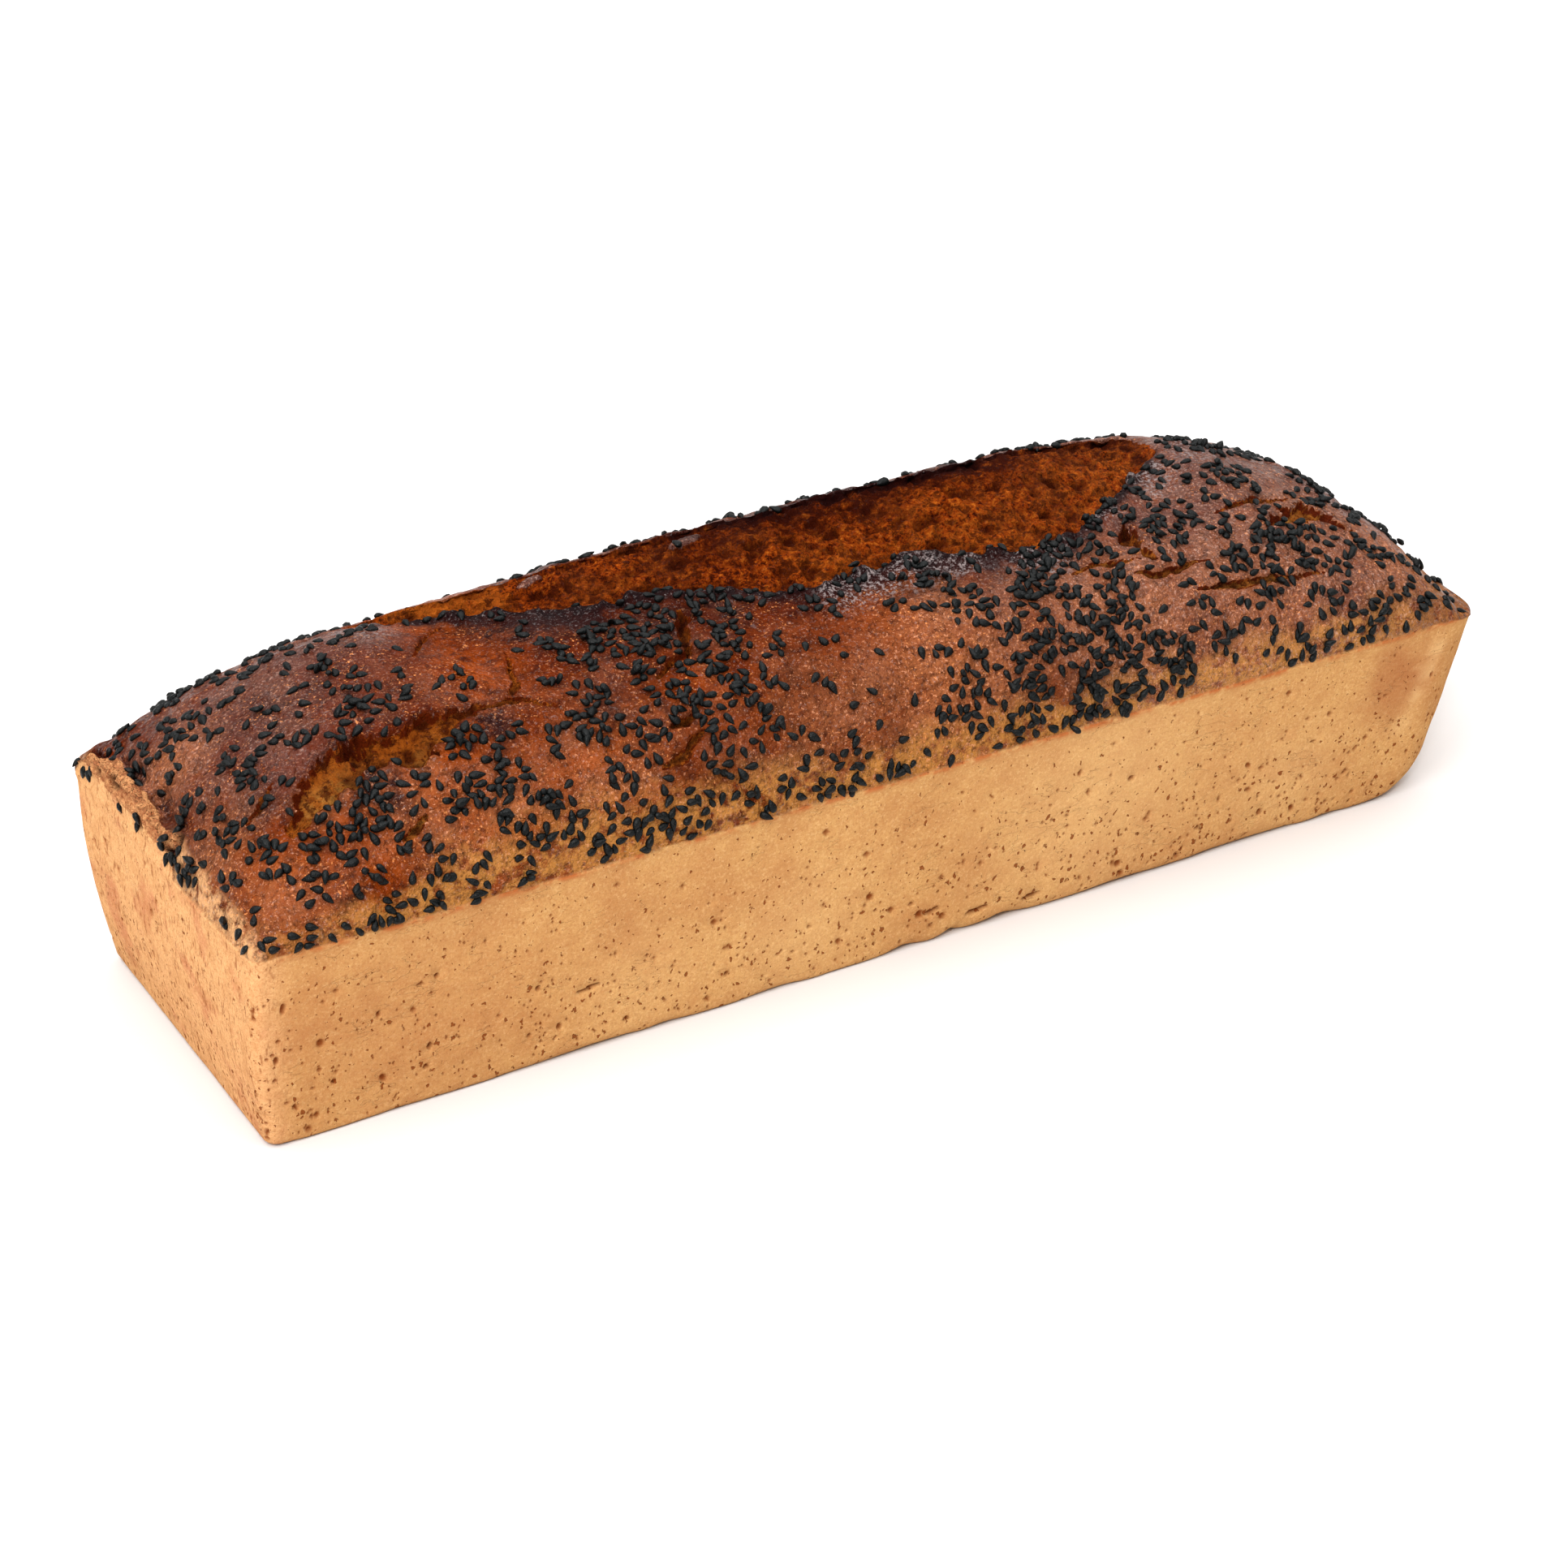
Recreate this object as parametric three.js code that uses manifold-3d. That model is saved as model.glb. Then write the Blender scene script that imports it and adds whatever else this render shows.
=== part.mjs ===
// Rye bread loaf: one solid of bread, baked in a long tin and strewn with black seeds.
// Millimetres, +Z up, origin on the surface it rests on, under the middle of the loaf.
// The length runs along X. Flat baked walls flare from the base to a rim, and above the
// rim a dome of crust rises, torn open along the top by a long burst. Places along X are
// measured from the dome's middle, and the finished loaf is moved to centre its length.

import * as THREE from 'three';
import { ParametricGeometry } from 'three/addons/geometries/ParametricGeometry.js';
import { ImprovedNoise } from 'three/addons/math/ImprovedNoise.js';
import { MeshSurfaceSampler } from 'three/addons/math/MeshSurfaceSampler.js';
import { mergeGeometries, mergeVertices } from 'three/addons/utils/BufferGeometryUtils.js';
import Module from 'manifold-3d';

// ---- Driving dimensions ----

// The rim: the tin's top edge, from which the dome rises.
const LEFT_END = -150;
const RIGHT_END = 157;
const LENGTH = RIGHT_END - LEFT_END;
const MIDDLE = (LEFT_END + RIGHT_END) / 2;
const WIDTH = 93.2;
const RIM_HEIGHT = 47.5;
const HALF_WIDTH = WIDTH / 2;

// How far the base lies inside the rim on each side: the walls' flare. The left wall
// flares more towards the back, and the long walls more towards the right.
const LEFT_TAPER_FRONT = 2.4;
const LEFT_TAPER_BACK = 5.4;
const RIGHT_TAPER = 7.8;
const SIDE_TAPER_LEFT = 3.2;
const SIDE_TAPER_RIGHT = 7.4;
const LEFT_WALL_BULGE = 1.6;

// Corner radii in plan, and the rounding where a wall meets the base.
const LEFT_CORNER = 3;
const RIGHT_CORNER = 12;
const BASE_EDGE = 2;
const RIGHT_BASE_EDGE = 10.3;

// The dome above the rim: its height, how that falls towards the ends, and how far in
// from each rim it takes to reach full height. It stops short of the right end, where
// the rim rolls down a little.
const DOME_RISE = 34.5;
const DOME_REACH = 150;
const DOME_END_FALL = 5.4;
const DOME_TILT = 1;
const FRONT_SHOULDER = 46.6;
const BACK_SHOULDER = 41;
const LEFT_SHOULDER = 53;
const RIGHT_SHOULDER = 90;
const DOME_STOP = 6.3;
const RIM_FALL = 2.6;
const RIM_FALL_REACH = 15.5;

// The burst: the near lip and the far lip in plan, as [x, y] from left to right.
const NEAR_LIP = [
  [-150, 0], [-112, 24], [-92, 26], [-72, 20], [-60, 14], [-52, 8], [-42, 5.5], [-30, 1],
  [-18, -3.5], [-8, -9], [0, -11.5], [8, -9], [20, -8], [32, -9.5], [40, -13], [50, -16.5],
  [60, -16], [66, -14], [72, -9], [84, -3.5], [88, 1], [93, 6], [98, 8.5], [102, 10],
  [106, 15], [112, 16], [150, 0],
];
const FAR_LIP = [
  [-150, 21], [-112, 29], [-80, 28], [-50, 25], [50, 24], [85, 25], [108, 22.5], [150, 21],
];
const BURST_START = -100;
const BURST_END = 108;
const BURST_START_RAMP = 28;
const BURST_END_RAMP = 14;
const FRONT_SINK = 5.5;
const LIP_RAISE = 1.4;
const LIP_FALLOFF = 5;
const LIP_STEP = 0.9;
const BURST_DEPTH = 5;
const BURST_FULL_WIDTH = 30;
const FAR_LIP_STEP = 1;

// The torn ear of dough on the left end, where the wall climbs above the rim.
const EAR_RISE = 9.5;
const EAR_START = 44;
const EAR_END = -8;
const EAR_LEDGE = 1.8;
const EAR_REACH = 4;

// Unevenness of the crust and of the torn crumb.
const CRUST_WAVE = 0.5;
const CRUST_WAVELENGTH = 22;
const CRUMB_WAVE = 0.9;
const CRUMB_WAVELENGTH = 6;

// Cracks and torn patches in the dome: [x, y, width] along each centreline, and depth.
const CRACKS = [
  {
    line: [[-85, -20.5, 2], [-92, -21.5, 6.5], [-98, -22.7, 9.4], [-103, -25.3, 8], [-108, -23.5, 5]],
    depth: 2.4,
  },
  { line: [[-110, -22.5, 7], [-114, -21.8, 9], [-120, -23.2, 11], [-133, -30, 3]], depth: 2.4 },
  { line: [[-117, -19.6, 2], [-114.6, -20.5, 4.6], [-111.5, -21.4, 2.4]], depth: 4 },
  { line: [[-86, -20.5, 2.4], [-76.5, -20, 1.6], [-69, -24.8, 1.2]], depth: 1.6 },
  { line: [[-70.8, -3.8, 1], [-73.5, -12, 1.4], [-76.5, -19, 2.4]], depth: 1.5 },
  { line: [[-30.4, -4.8, 2.8], [-33, -12.5, 3.4], [-36.2, -20.2, 2], [-45.8, -24.9, 1.8]], depth: 2.5 },
  { line: [[-113, -40.4, 1.2], [-109, -39.6, 1.8], [-104, -38, 1.2]], depth: 1.5 },
  { line: [[-55, -41.7, 1.2], [-48, -40.6, 1.8], [-42, -38.3, 1.2]], depth: 1.5 },
  { line: [[76.6, -14.5, 3], [75.6, -21, 5], [76, -27, 2.4]], depth: 2.8 },
  { line: [[70, -30.6, 1.2], [74, -32, 2.4], [89, -30.6, 1.2]], depth: 1.6 },
  { line: [[83, -36.8, 1.4], [91, -37.3, 2.4], [101, -37.3, 2.2], [116, -37.3, 1.4]], depth: 1.8 },
  { line: [[99, -18.2, 1.2], [110, -16, 2.4], [121, -14.8, 1.6]], depth: 1.6 },
  { line: [[110, -24, 2.4], [118, -22, 6], [128, -20, 6], [134, -25.5, 2.4]], depth: 2.2 },
];
const CRACK_STATIONS_EACH = 2;
const CRACK_ABOVE = 3;
const CRACK_FLOOR_WIDTH = 0.6;

// Black seeds, pressed into the crust: a pointed oval with a ridge, rooted in the bread.
const SEED_LENGTH = 3;
const SEED_WIDTH = 1.8;
const SEED_HEIGHT = 1.2;
const SEED_WAIST = 0.35;
const SEED_ROOT = 1.2;
const SEED_OUTLINE = [[0.5, 0], [0.18, 0.42], [-0.25, 0.5], [-0.5, 0], [-0.25, -0.5], [0.18, -0.42]];
const SEED_RIDGE = [[0.12, 0], [-0.25, 0]];
const SEED_SPREAD = 0.12;
const SEED_COUNT = 210;
const SEED_GAP = 4.4;
const SEED_RIM_SHARE = 0.3;
const RIM_BAND = 5;

// Grid of the crust: columns along X, then rows from the front rim to the near lip,
// across the burst and on to the back rim.
const COLUMNS = 54;
const END_CROWDING = 0.5;
const FRONT_ROWS = 8;
const BURST_ROWS = 4;
const BACK_ROWS = 6;
const RIM_CROWDING = 1.5;
const WALL_LEVELS = [0, 0.5, 2, 8, 26];

const CRUST_COLOUR = 0xb07a4c;
const CRUST_ROUGHNESS = 0.6;

// ---- Small helpers ----

const { clamp, lerp, smoothstep } = THREE.MathUtils;
const noise = new ImprovedNoise();

function between(points, x) {
  let i = 1;
  while (i < points.length - 1 && points[i][0] < x) i += 1;
  const [x0, y0] = points[i - 1];
  const [x1, y1] = points[i];
  return lerp(y0, y1, clamp((x - x0) / (x1 - x0), 0, 1));
}

// Rise of a rounded shoulder: 0 at the rim, 1 from the shoulder's reach inwards.
function shoulder(distance, reach) {
  const t = clamp(distance / reach, 0, 1);
  return Math.sqrt(1 - (1 - t) ** 2);
}

// Inset of a rounded lower edge at height z.
function roundedEdge(z, radius) {
  const t = clamp(1 - z / radius, 0, 1);
  return radius * (1 - Math.sqrt(1 - t * t));
}

// ---- The shape of the crust ----

const nearLip = (x) => between(NEAR_LIP, x);
const farLip = (x) => between(FAR_LIP, x);

function burstOpening(x) {
  const start = smoothstep(x, BURST_START, BURST_START + BURST_START_RAMP);
  const end = 1 - smoothstep(x, BURST_END - BURST_END_RAMP, BURST_END);
  return start * end;
}

function domeRise(x, y) {
  const along = x / DOME_REACH;
  const crown = DOME_RISE + DOME_TILT * along - DOME_END_FALL * along ** 2;
  return crown
    * shoulder(y + HALF_WIDTH, FRONT_SHOULDER)
    * shoulder(HALF_WIDTH - y, BACK_SHOULDER)
    * shoulder(x - LEFT_END, LEFT_SHOULDER)
    * shoulder(RIGHT_END - DOME_STOP - x, RIGHT_SHOULDER);
}

// The ear's share at y, from 0 to 1.
function earShare(y) {
  const t = clamp((y - EAR_END) / (EAR_START - EAR_END), 0, 1);
  return Math.sin(Math.PI * t) ** 0.6;
}

// How far the rim has rolled down at x, near the right end.
function rimFall(x) {
  return RIM_FALL * Math.max(1 - (RIGHT_END - x) / RIM_FALL_REACH, 0) ** 2;
}

function rimHeight(x, y) {
  return RIM_HEIGHT - rimFall(x) + (x <= LEFT_END ? EAR_RISE * earShare(y) : 0);
}

// Height of the top of the loaf over the rim's rectangle.
function topHeight(x, y) {
  const rise = domeRise(x, y);
  const near = nearLip(x);
  const far = farLip(x);
  const open = burstOpening(x);
  const share = rise / DOME_RISE;
  const across = clamp((y - near) / (far - near), 0, 1);
  const frontSide = smoothstep(y, -HALF_WIDTH, near);
  const sink = FRONT_SINK * open * share * (y < near ? frontSide : 1 - smoothstep(across, 0, 1));
  let height = RIM_HEIGHT + rise - sink - rimFall(x);
  if (y <= near) {
    height += LIP_RAISE * open * Math.exp((y - near) / LIP_FALLOFF);
  } else if (y < far) {
    const wide = clamp((far - near) / BURST_FULL_WIDTH, 0, 1);
    const floor = BURST_DEPTH * wide * (1 - across) ** 1.3 + FAR_LIP_STEP;
    const rough = CRUMB_WAVE * noise.noise(x / CRUMB_WAVELENGTH, y / CRUMB_WAVELENGTH, 0);
    height -= open * (floor - rough);
  }
  const wave = noise.noise(x / CRUST_WAVELENGTH, y / CRUST_WAVELENGTH, 1);
  height += 2 * CRUST_WAVE * share * wave;
  const inward = clamp((x - LEFT_END) / EAR_REACH, 0, 1);
  const ear = RIM_HEIGHT + (EAR_RISE + EAR_LEDGE * inward) * earShare(y);
  return inward < 1 ? Math.max(height, ear) : height;
}

// Moves a point near a corner of the rectangle onto rounded corners.
function roundCorners(point, left, right, half) {
  const side = point.x > 0 ? 1 : -1;
  const radius = side > 0 ? RIGHT_CORNER : LEFT_CORNER;
  const centreX = side > 0 ? right - radius : left + radius;
  const centreY = half - radius;
  const a = (side * (point.x - centreX)) / radius;
  const b = (Math.abs(point.y) - centreY) / radius;
  if (a > 0 && b > 0) {
    const flip = Math.sign(point.y);
    point.x = centreX + side * radius * a * Math.sqrt(1 - (b * b) / 2);
    point.y = flip * (centreY + radius * b * Math.sqrt(1 - (a * a) / 2));
  }
}

// ---- Grid lines ----

function columnPlace(column) {
  const u = (2 * column) / COLUMNS - 1;
  return MIDDLE + (LENGTH / 2) * lerp(u, Math.sin((Math.PI / 2) * u), END_CROWDING);
}

const NEAR_ROW = FRONT_ROWS;
const FLOOR_START_ROW = NEAR_ROW + 1;
const FLOOR_END_ROW = FLOOR_START_ROW + BURST_ROWS;
const FAR_ROW = FLOOR_END_ROW + 1;
const ROWS = FAR_ROW + BACK_ROWS;

function rowPlace(row, x) {
  const near = nearLip(x);
  const far = farLip(x);
  if (row <= NEAR_ROW) {
    return lerp(-HALF_WIDTH, near, (row / NEAR_ROW) ** RIM_CROWDING);
  }
  if (row >= FAR_ROW) {
    return lerp(HALF_WIDTH, far, ((ROWS - row) / BACK_ROWS) ** RIM_CROWDING);
  }
  const across = (row - FLOOR_START_ROW) / BURST_ROWS;
  return lerp(near + LIP_STEP, far - LIP_STEP, across);
}

function crustPoint(u, v, target) {
  const x = columnPlace(u * COLUMNS);
  const y = rowPlace(Math.round(v * ROWS), x);
  const edge = v <= 0 || v >= 1 || u <= 0 || u >= 1;
  target.set(x, y, edge ? rimHeight(x, y) : topHeight(x, y));
  roundCorners(target, LEFT_END, RIGHT_END, HALF_WIDTH);
}

// The grid's edge, once round: front, right end, back, left end.
const PERIMETER = 2 * (COLUMNS + ROWS);

function edgePlace(step) {
  const s = step % PERIMETER;
  let column = clamp(s, 0, COLUMNS);
  let row = clamp(s - COLUMNS, 0, ROWS);
  if (s > COLUMNS + ROWS) {
    column = clamp(2 * COLUMNS + ROWS - s, 0, COLUMNS);
    row = clamp(PERIMETER - s, 0, ROWS);
  }
  const x = columnPlace(column);
  return { x, y: rowPlace(row, x) };
}

// A point of the walls: step round the loaf, at height z up to the rim.
function wallAt(step, level, target) {
  const { x, y } = edgePlace(step);
  const top = rimHeight(x, y);
  const z = level < WALL_LEVELS.length ? WALL_LEVELS[level] : top;
  const up = Math.min(z / Math.min(top, RIM_HEIGHT), 1);
  const along = (x - LEFT_END) / LENGTH;
  const across = (y + HALF_WIDTH) / WIDTH;
  const leftTaper = lerp(LEFT_TAPER_FRONT, LEFT_TAPER_BACK, across);
  const sideTaper = lerp(SIDE_TAPER_LEFT, SIDE_TAPER_RIGHT, along);
  const bulge = LEFT_WALL_BULGE * Math.sin(Math.PI * up);
  const left = LEFT_END + leftTaper * (1 - up) - bulge + roundedEdge(z, BASE_EDGE);
  const right = RIGHT_END - RIGHT_TAPER * (1 - up) - roundedEdge(z, RIGHT_BASE_EDGE);
  const half = HALF_WIDTH - sideTaper * (1 - up) - roundedEdge(z, BASE_EDGE);
  target.set(lerp(left, right, along), (y / HALF_WIDTH) * half, z);
  roundCorners(target, left, right, half);
}

function wallPoint(u, v, target) {
  wallAt(Math.round(u * PERIMETER), Math.round(v * WALL_LEVELS.length), target);
}

function baseFace() {
  const corner = new THREE.Vector3();
  const outline = [];
  for (let step = 0; step < PERIMETER; step += 1) {
    wallAt(step, 0, corner);
    outline.push(new THREE.Vector2(corner.x, -corner.y));
  }
  return new THREE.ShapeGeometry(new THREE.Shape(outline)).rotateX(Math.PI);
}

// ---- Solids ----

function weld(geometry) {
  geometry.deleteAttribute('normal');
  geometry.deleteAttribute('uv');
  return mergeVertices(geometry, 1e-4);
}

const wasm = await Module();
wasm.setup();

function toSolid(geometry) {
  const welded = weld(geometry);
  return new wasm.Manifold(new wasm.Mesh({
    numProp: 3,
    vertProperties: welded.getAttribute('position').array,
    triVerts: Uint32Array.from(welded.getIndex().array),
  }));
}

function toGeometry(solid) {
  const mesh = solid.getMesh();
  const geometry = new THREE.BufferGeometry();
  geometry.setAttribute('position', new THREE.BufferAttribute(mesh.vertProperties, 3));
  geometry.setIndex(new THREE.BufferAttribute(mesh.triVerts, 1));
  geometry.computeVertexNormals();
  return geometry;
}

function bareLoaf() {
  const crust = new ParametricGeometry(crustPoint, COLUMNS, ROWS);
  const walls = new ParametricGeometry(wallPoint, PERIMETER, WALL_LEVELS.length);
  return mergeGeometries([crust, walls, baseFace()]);
}

// A crack is cut by a long lens of four-sided sections that narrows to both ends.
function crackCutter({ line, depth }, index) {
  const stations = CRACK_STATIONS_EACH * (line.length - 1) + 1;
  const plan = line.map(([x, y, width]) => new THREE.Vector3(x, y, width));
  const curve = new THREE.CatmullRomCurve3(plan, false, 'centripetal');
  const across = new THREE.Vector3();
  const section = new THREE.Vector3();
  const corners = [[1, 1], [CRACK_FLOOR_WIDTH, 0], [-CRACK_FLOOR_WIDTH, 0], [-1, 1]];
  return new ParametricGeometry((u, v, target) => {
    const station = Math.round(u * stations) / stations;
    const corner = Math.round(v * corners.length);
    const [side, upper] = corners[corner % corners.length];
    curve.getPointAt(station, section);
    curve.getTangentAt(station, across).setZ(0).normalize();
    const jag = 1 + 0.5 * noise.noise(station * 5, index * 3.7, side * 2.3);
    const narrowing = Math.sin(Math.PI * station) ** 0.5;
    const half = (section.z / 2) * jag * narrowing;
    const x = section.x - across.y * side * half;
    const y = section.y + across.x * side * half;
    const height = upper ? CRACK_ABOVE : -depth * narrowing ** 2;
    target.set(x, y, topHeight(x, y) + height);
  }, stations, corners.length);
}

// ---- Seeds ----

const random = () => THREE.MathUtils.seededRandom();

// A seed's closed surface: an oval waist, a ridge above it and a root below.
function seedShape(size) {
  const waist = SEED_OUTLINE.map(([x, y]) => [x, y, SEED_WAIST / SEED_HEIGHT]);
  const ridge = SEED_RIDGE.map(([x, y]) => [x, y, 1]);
  const root = [-0.05, 0, -SEED_ROOT / SEED_HEIGHT];
  const points = [...waist, ...ridge, root];
  const [front, back, bottom] = [6, 7, 8];
  const faces = waist.map((_, i) => [bottom, (i + 1) % 6, i]);
  faces.push([0, 1, front], [1, 2, back], [1, back, front], [2, 3, back]);
  faces.push([3, 4, back], [4, 5, front], [4, front, back], [5, 0, front]);
  const seed = new THREE.BufferGeometry();
  seed.setAttribute('position', new THREE.Float32BufferAttribute(points.flat(), 3));
  seed.setIndex(faces.flat());
  seed.scale(SEED_LENGTH * size, SEED_WIDTH * size, SEED_HEIGHT * size);
  return seed;
}

// Whether a spot of the crust takes a seed: not the walls, the torn crumb or a crack.
function takesSeed(spot, normal) {
  if (spot.z < RIM_HEIGHT + 0.3 || normal.z < 0.15) return false;
  const inBurst = spot.y > nearLip(spot.x) - 1 && spot.y < farLip(spot.x) + 1;
  if (inBurst && burstOpening(spot.x) > 0.02) return false;
  return CRACKS.every(({ line }) => line.every(([x, y, width]) => (
    Math.hypot(spot.x - x, spot.y - y) > width / 2 + SEED_LENGTH / 2
  )));
}

function scatterSeeds(loaf) {
  const sampler = new MeshSurfaceSampler(new THREE.Mesh(loaf)).setRandomGenerator(random).build();
  const spot = new THREE.Vector3();
  const normal = new THREE.Vector3();
  const up = new THREE.Vector3(0, 0, 1);
  const placed = [];
  const seeds = [];
  while (seeds.length < SEED_COUNT) {
    sampler.sample(spot, normal);
    const nearRim = spot.z < RIM_HEIGHT + RIM_BAND;
    const wanted = seeds.length < SEED_COUNT * SEED_RIM_SHARE ? nearRim : !nearRim;
    const clear = placed.every((other) => other.distanceTo(spot) > SEED_GAP);
    if (wanted && clear && takesSeed(spot, normal)) {
      const size = 1 + SEED_SPREAD * (2 * random() - 1);
      const seed = seedShape(size);
      seed.rotateZ(2 * Math.PI * random());
      seed.applyQuaternion(new THREE.Quaternion().setFromUnitVectors(up, normal));
      seed.translate(spot.x, spot.y, spot.z);
      seeds.push(seed);
      placed.push(spot.clone());
    }
  }
  return seeds;
}

// ---- The loaf ----

function buildLoaf() {
  THREE.MathUtils.seededRandom(7);
  let bread = toSolid(bareLoaf());
  CRACKS.forEach((crack, index) => {
    bread = bread.subtract(toSolid(crackCutter(crack, index)));
  });
  scatterSeeds(toGeometry(bread)).forEach((seed) => {
    bread = bread.add(toSolid(seed));
  });
  const pieces = bread.decompose();
  pieces.sort((a, b) => b.volume() - a.volume());
  return toGeometry(pieces[0].translate([-MIDDLE, 0, 0]));
}

const crustMaterial = new THREE.MeshStandardMaterial({
  color: CRUST_COLOUR,
  roughness: CRUST_ROUGHNESS,
  metalness: 0,
});

const loaf = new THREE.Mesh(buildLoaf(), crustMaterial);
loaf.name = 'loaf';

const bread = new THREE.Group();
bread.name = 'rye_bread_loaf';
bread.add(loaf);

export default bread;
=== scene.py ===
import itertools
import math

import bmesh
import bpy
import numpy as np
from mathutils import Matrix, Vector
from mathutils.bvhtree import BVHTree
from mathutils.kdtree import KDTree


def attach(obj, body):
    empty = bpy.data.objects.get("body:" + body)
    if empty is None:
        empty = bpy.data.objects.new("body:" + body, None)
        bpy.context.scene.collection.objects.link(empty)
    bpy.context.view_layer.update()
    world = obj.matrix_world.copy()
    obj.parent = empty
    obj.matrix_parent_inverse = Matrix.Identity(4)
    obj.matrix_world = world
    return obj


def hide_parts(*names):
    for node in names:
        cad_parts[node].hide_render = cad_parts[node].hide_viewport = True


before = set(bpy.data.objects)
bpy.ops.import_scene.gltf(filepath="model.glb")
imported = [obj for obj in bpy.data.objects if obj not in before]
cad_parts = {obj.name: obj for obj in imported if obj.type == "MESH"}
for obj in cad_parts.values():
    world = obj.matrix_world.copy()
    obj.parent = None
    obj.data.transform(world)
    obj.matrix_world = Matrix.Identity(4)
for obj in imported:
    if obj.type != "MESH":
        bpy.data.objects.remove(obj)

bl_info = {
    "name": "Rye bread loaf",
    "version": (1, 0, 0),
    "blender": (4, 5, 0),
    "location": "3D View > Sidebar > Rye loaf",
    "description": "Bakes a long seeded rye loaf with a torn, domed crust",
    "category": "Add Mesh",
}

# Lengths of the bread are millimetres, as in a baker's notes, and MM turns them to metres.
MM = 0.001


def srgb(red, green, blue):
    """A colour given as 0 to 255 screen values, as the linear values that shaders use."""
    values = (c / 255 for c in (red, green, blue))
    return tuple(c / 12.92 if c <= 0.04045 else ((c + 0.055) / 1.055) ** 2.4 for c in values)


# ---------------------------------------------------------------- settings

def length_setting(name, description, millimetres):
    return bpy.props.FloatProperty(
        name=name, description=description, default=millimetres * MM, unit="LENGTH")


class LoafSizes(bpy.types.PropertyGroup):
    length: length_setting("Length", "Length of the rim along X", 307)
    width: length_setting("Width", "Width of the rim along Y", 93.2)
    rim_height: length_setting("Rim height", "Height of the tin's edge", 47.5)
    dome_rise: length_setting("Dome rise", "Rise of the dome above the rim", 34.5)
    burst_depth: length_setting("Burst depth", "Drop from the near lip into the tear", 5)
    triangles: bpy.props.IntProperty(
        name="Triangles", description="Most triangles that the bread may have", default=194000)


class SeedSettings(bpy.types.PropertyGroup):
    count: bpy.props.IntProperty(
        name="Seeds", description="How many seeds are strewn on the crust", default=2340)
    length: length_setting("Seed length", "Length of a middling seed", 2.95)
    width: length_setting("Seed width", "Width of a middling seed", 1.66)
    thickness: length_setting("Seed thickness", "Thickness of a middling seed", 1.3)
    stacking: bpy.props.FloatProperty(
        name="Stacking", description="Chance that a seed may lie on another", default=0.16)
    clumping: bpy.props.FloatProperty(
        name="Clumping", description="Mean number of seeds that join each fallen one",
        default=0.6)
    random_seed: bpy.props.IntProperty(
        name="Random seed", description="Start of the seeds' random draws", default=11)


def colour_setting(name, description, default):
    return bpy.props.FloatVectorProperty(
        name=name, description=description, default=default, subtype="COLOR", size=3,
        min=0.0, max=1.0)


class BakeColours(bpy.types.PropertyGroup):
    wall: colour_setting("Wall", "Baked wall that lay against the tin", srgb(203, 153, 95))
    wall_dark: colour_setting("Wall, browner", "Browner patches of the wall", srgb(176, 117, 69))
    # Also laid as a painted highlight up the right corner's rounding.
    wall_pale: colour_setting("Wall, paler", "Pale flour grains of the wall", srgb(234, 190, 132))
    end_wall: colour_setting("End wall", "Paler dough of the left end", srgb(220, 165, 113))
    blush: colour_setting("Blush", "Pinkish patches of the end wall", srgb(186, 108, 78))
    smudge: colour_setting("Smudges", "Mauve-brown marks of the wall", srgb(160, 94, 56))
    pore: colour_setting("Pores", "Inside of the wall's pores", srgb(122, 54, 16))
    crust: colour_setting("Crust", "Glossy top crust", srgb(85, 28, 5))
    # Also laid as painted shade in the ear's clefts and narrow cracks.
    crust_dark: colour_setting("Crust, darker", "Maroon patches of the crust", srgb(38, 12, 9))
    crust_glow: colour_setting("Crust, oranger", "Orange patches of the crust", srgb(134, 55, 8))
    crust_light: colour_setting("Crust, paler", "Paler crust low down", srgb(158, 92, 54))
    speck: colour_setting("Crust specks", "Fine pale specks", srgb(206, 128, 74))
    # Painted highlights: greyish glints laid on the dusky crust.
    glint: colour_setting("Glints", "Greyish glints of the dusky crust", srgb(196, 152, 134))
    # Partly painted sheen: the duller mauve of both ends also stands in for their glossy sheen.
    mauve_and_sheen: colour_setting("Dusky crust", "Duller crust at both ends", srgb(93, 57, 47))
    band: colour_setting("Rim band", "Soft band above the rim", srgb(170, 112, 54))
    # Painted highlights: a fine light grain over the glossy crust.
    fine_highlight: colour_setting("Fine glow", "Fine light grain of the glossy crust", srgb(222, 152, 114))
    rim: colour_setting("Rim line", "Redder line under the rim", srgb(176, 98, 52))
    crumb: colour_setting("Crumb", "Torn crumb", srgb(156, 62, 12))
    # Also painted shade in the low parts of the crumb's bump grain, in its hollows and under the far
    # lip.
    crumb_dark: colour_setting("Crumb, darker", "Hollows of the crumb", srgb(60, 18, 6))
    # Also painted light on the high spots of the crumb's bump grain.
    crumb_pale: colour_setting("Crumb, paler", "High spots of the crumb", srgb(206, 108, 32))
    dough: colour_setting("Inner dough", "Paler dough in the small tears", srgb(170, 90, 26))
    dough_pale: colour_setting("Pale dough", "Palest dough in the tears", srgb(176, 120, 54))
    ear: colour_setting("Ear", "Ragged ear of the left end", srgb(222, 157, 104))
    # Also painted shade in the ear's low bump grain and hollows.
    ear_dark: colour_setting("Ear, darker", "Browner parts of the ear", srgb(154, 88, 56))
    rust: colour_setting("Scorched rim", "Red-brown rims of the tears", srgb(96, 32, 8))
    burnt: colour_setting("Burnt lip", "Charred edge of the tear", srgb(24, 11, 12))
    # Painted highlights: whitish-grey glints on the burnt lip and its scraps of crust.
    lip_glint: colour_setting("Bloom", "Grey bloom on the burnt lip", srgb(142, 128, 126))
    seed: colour_setting("Seed coat", "Black seed coat", srgb(5, 7, 7))


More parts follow.
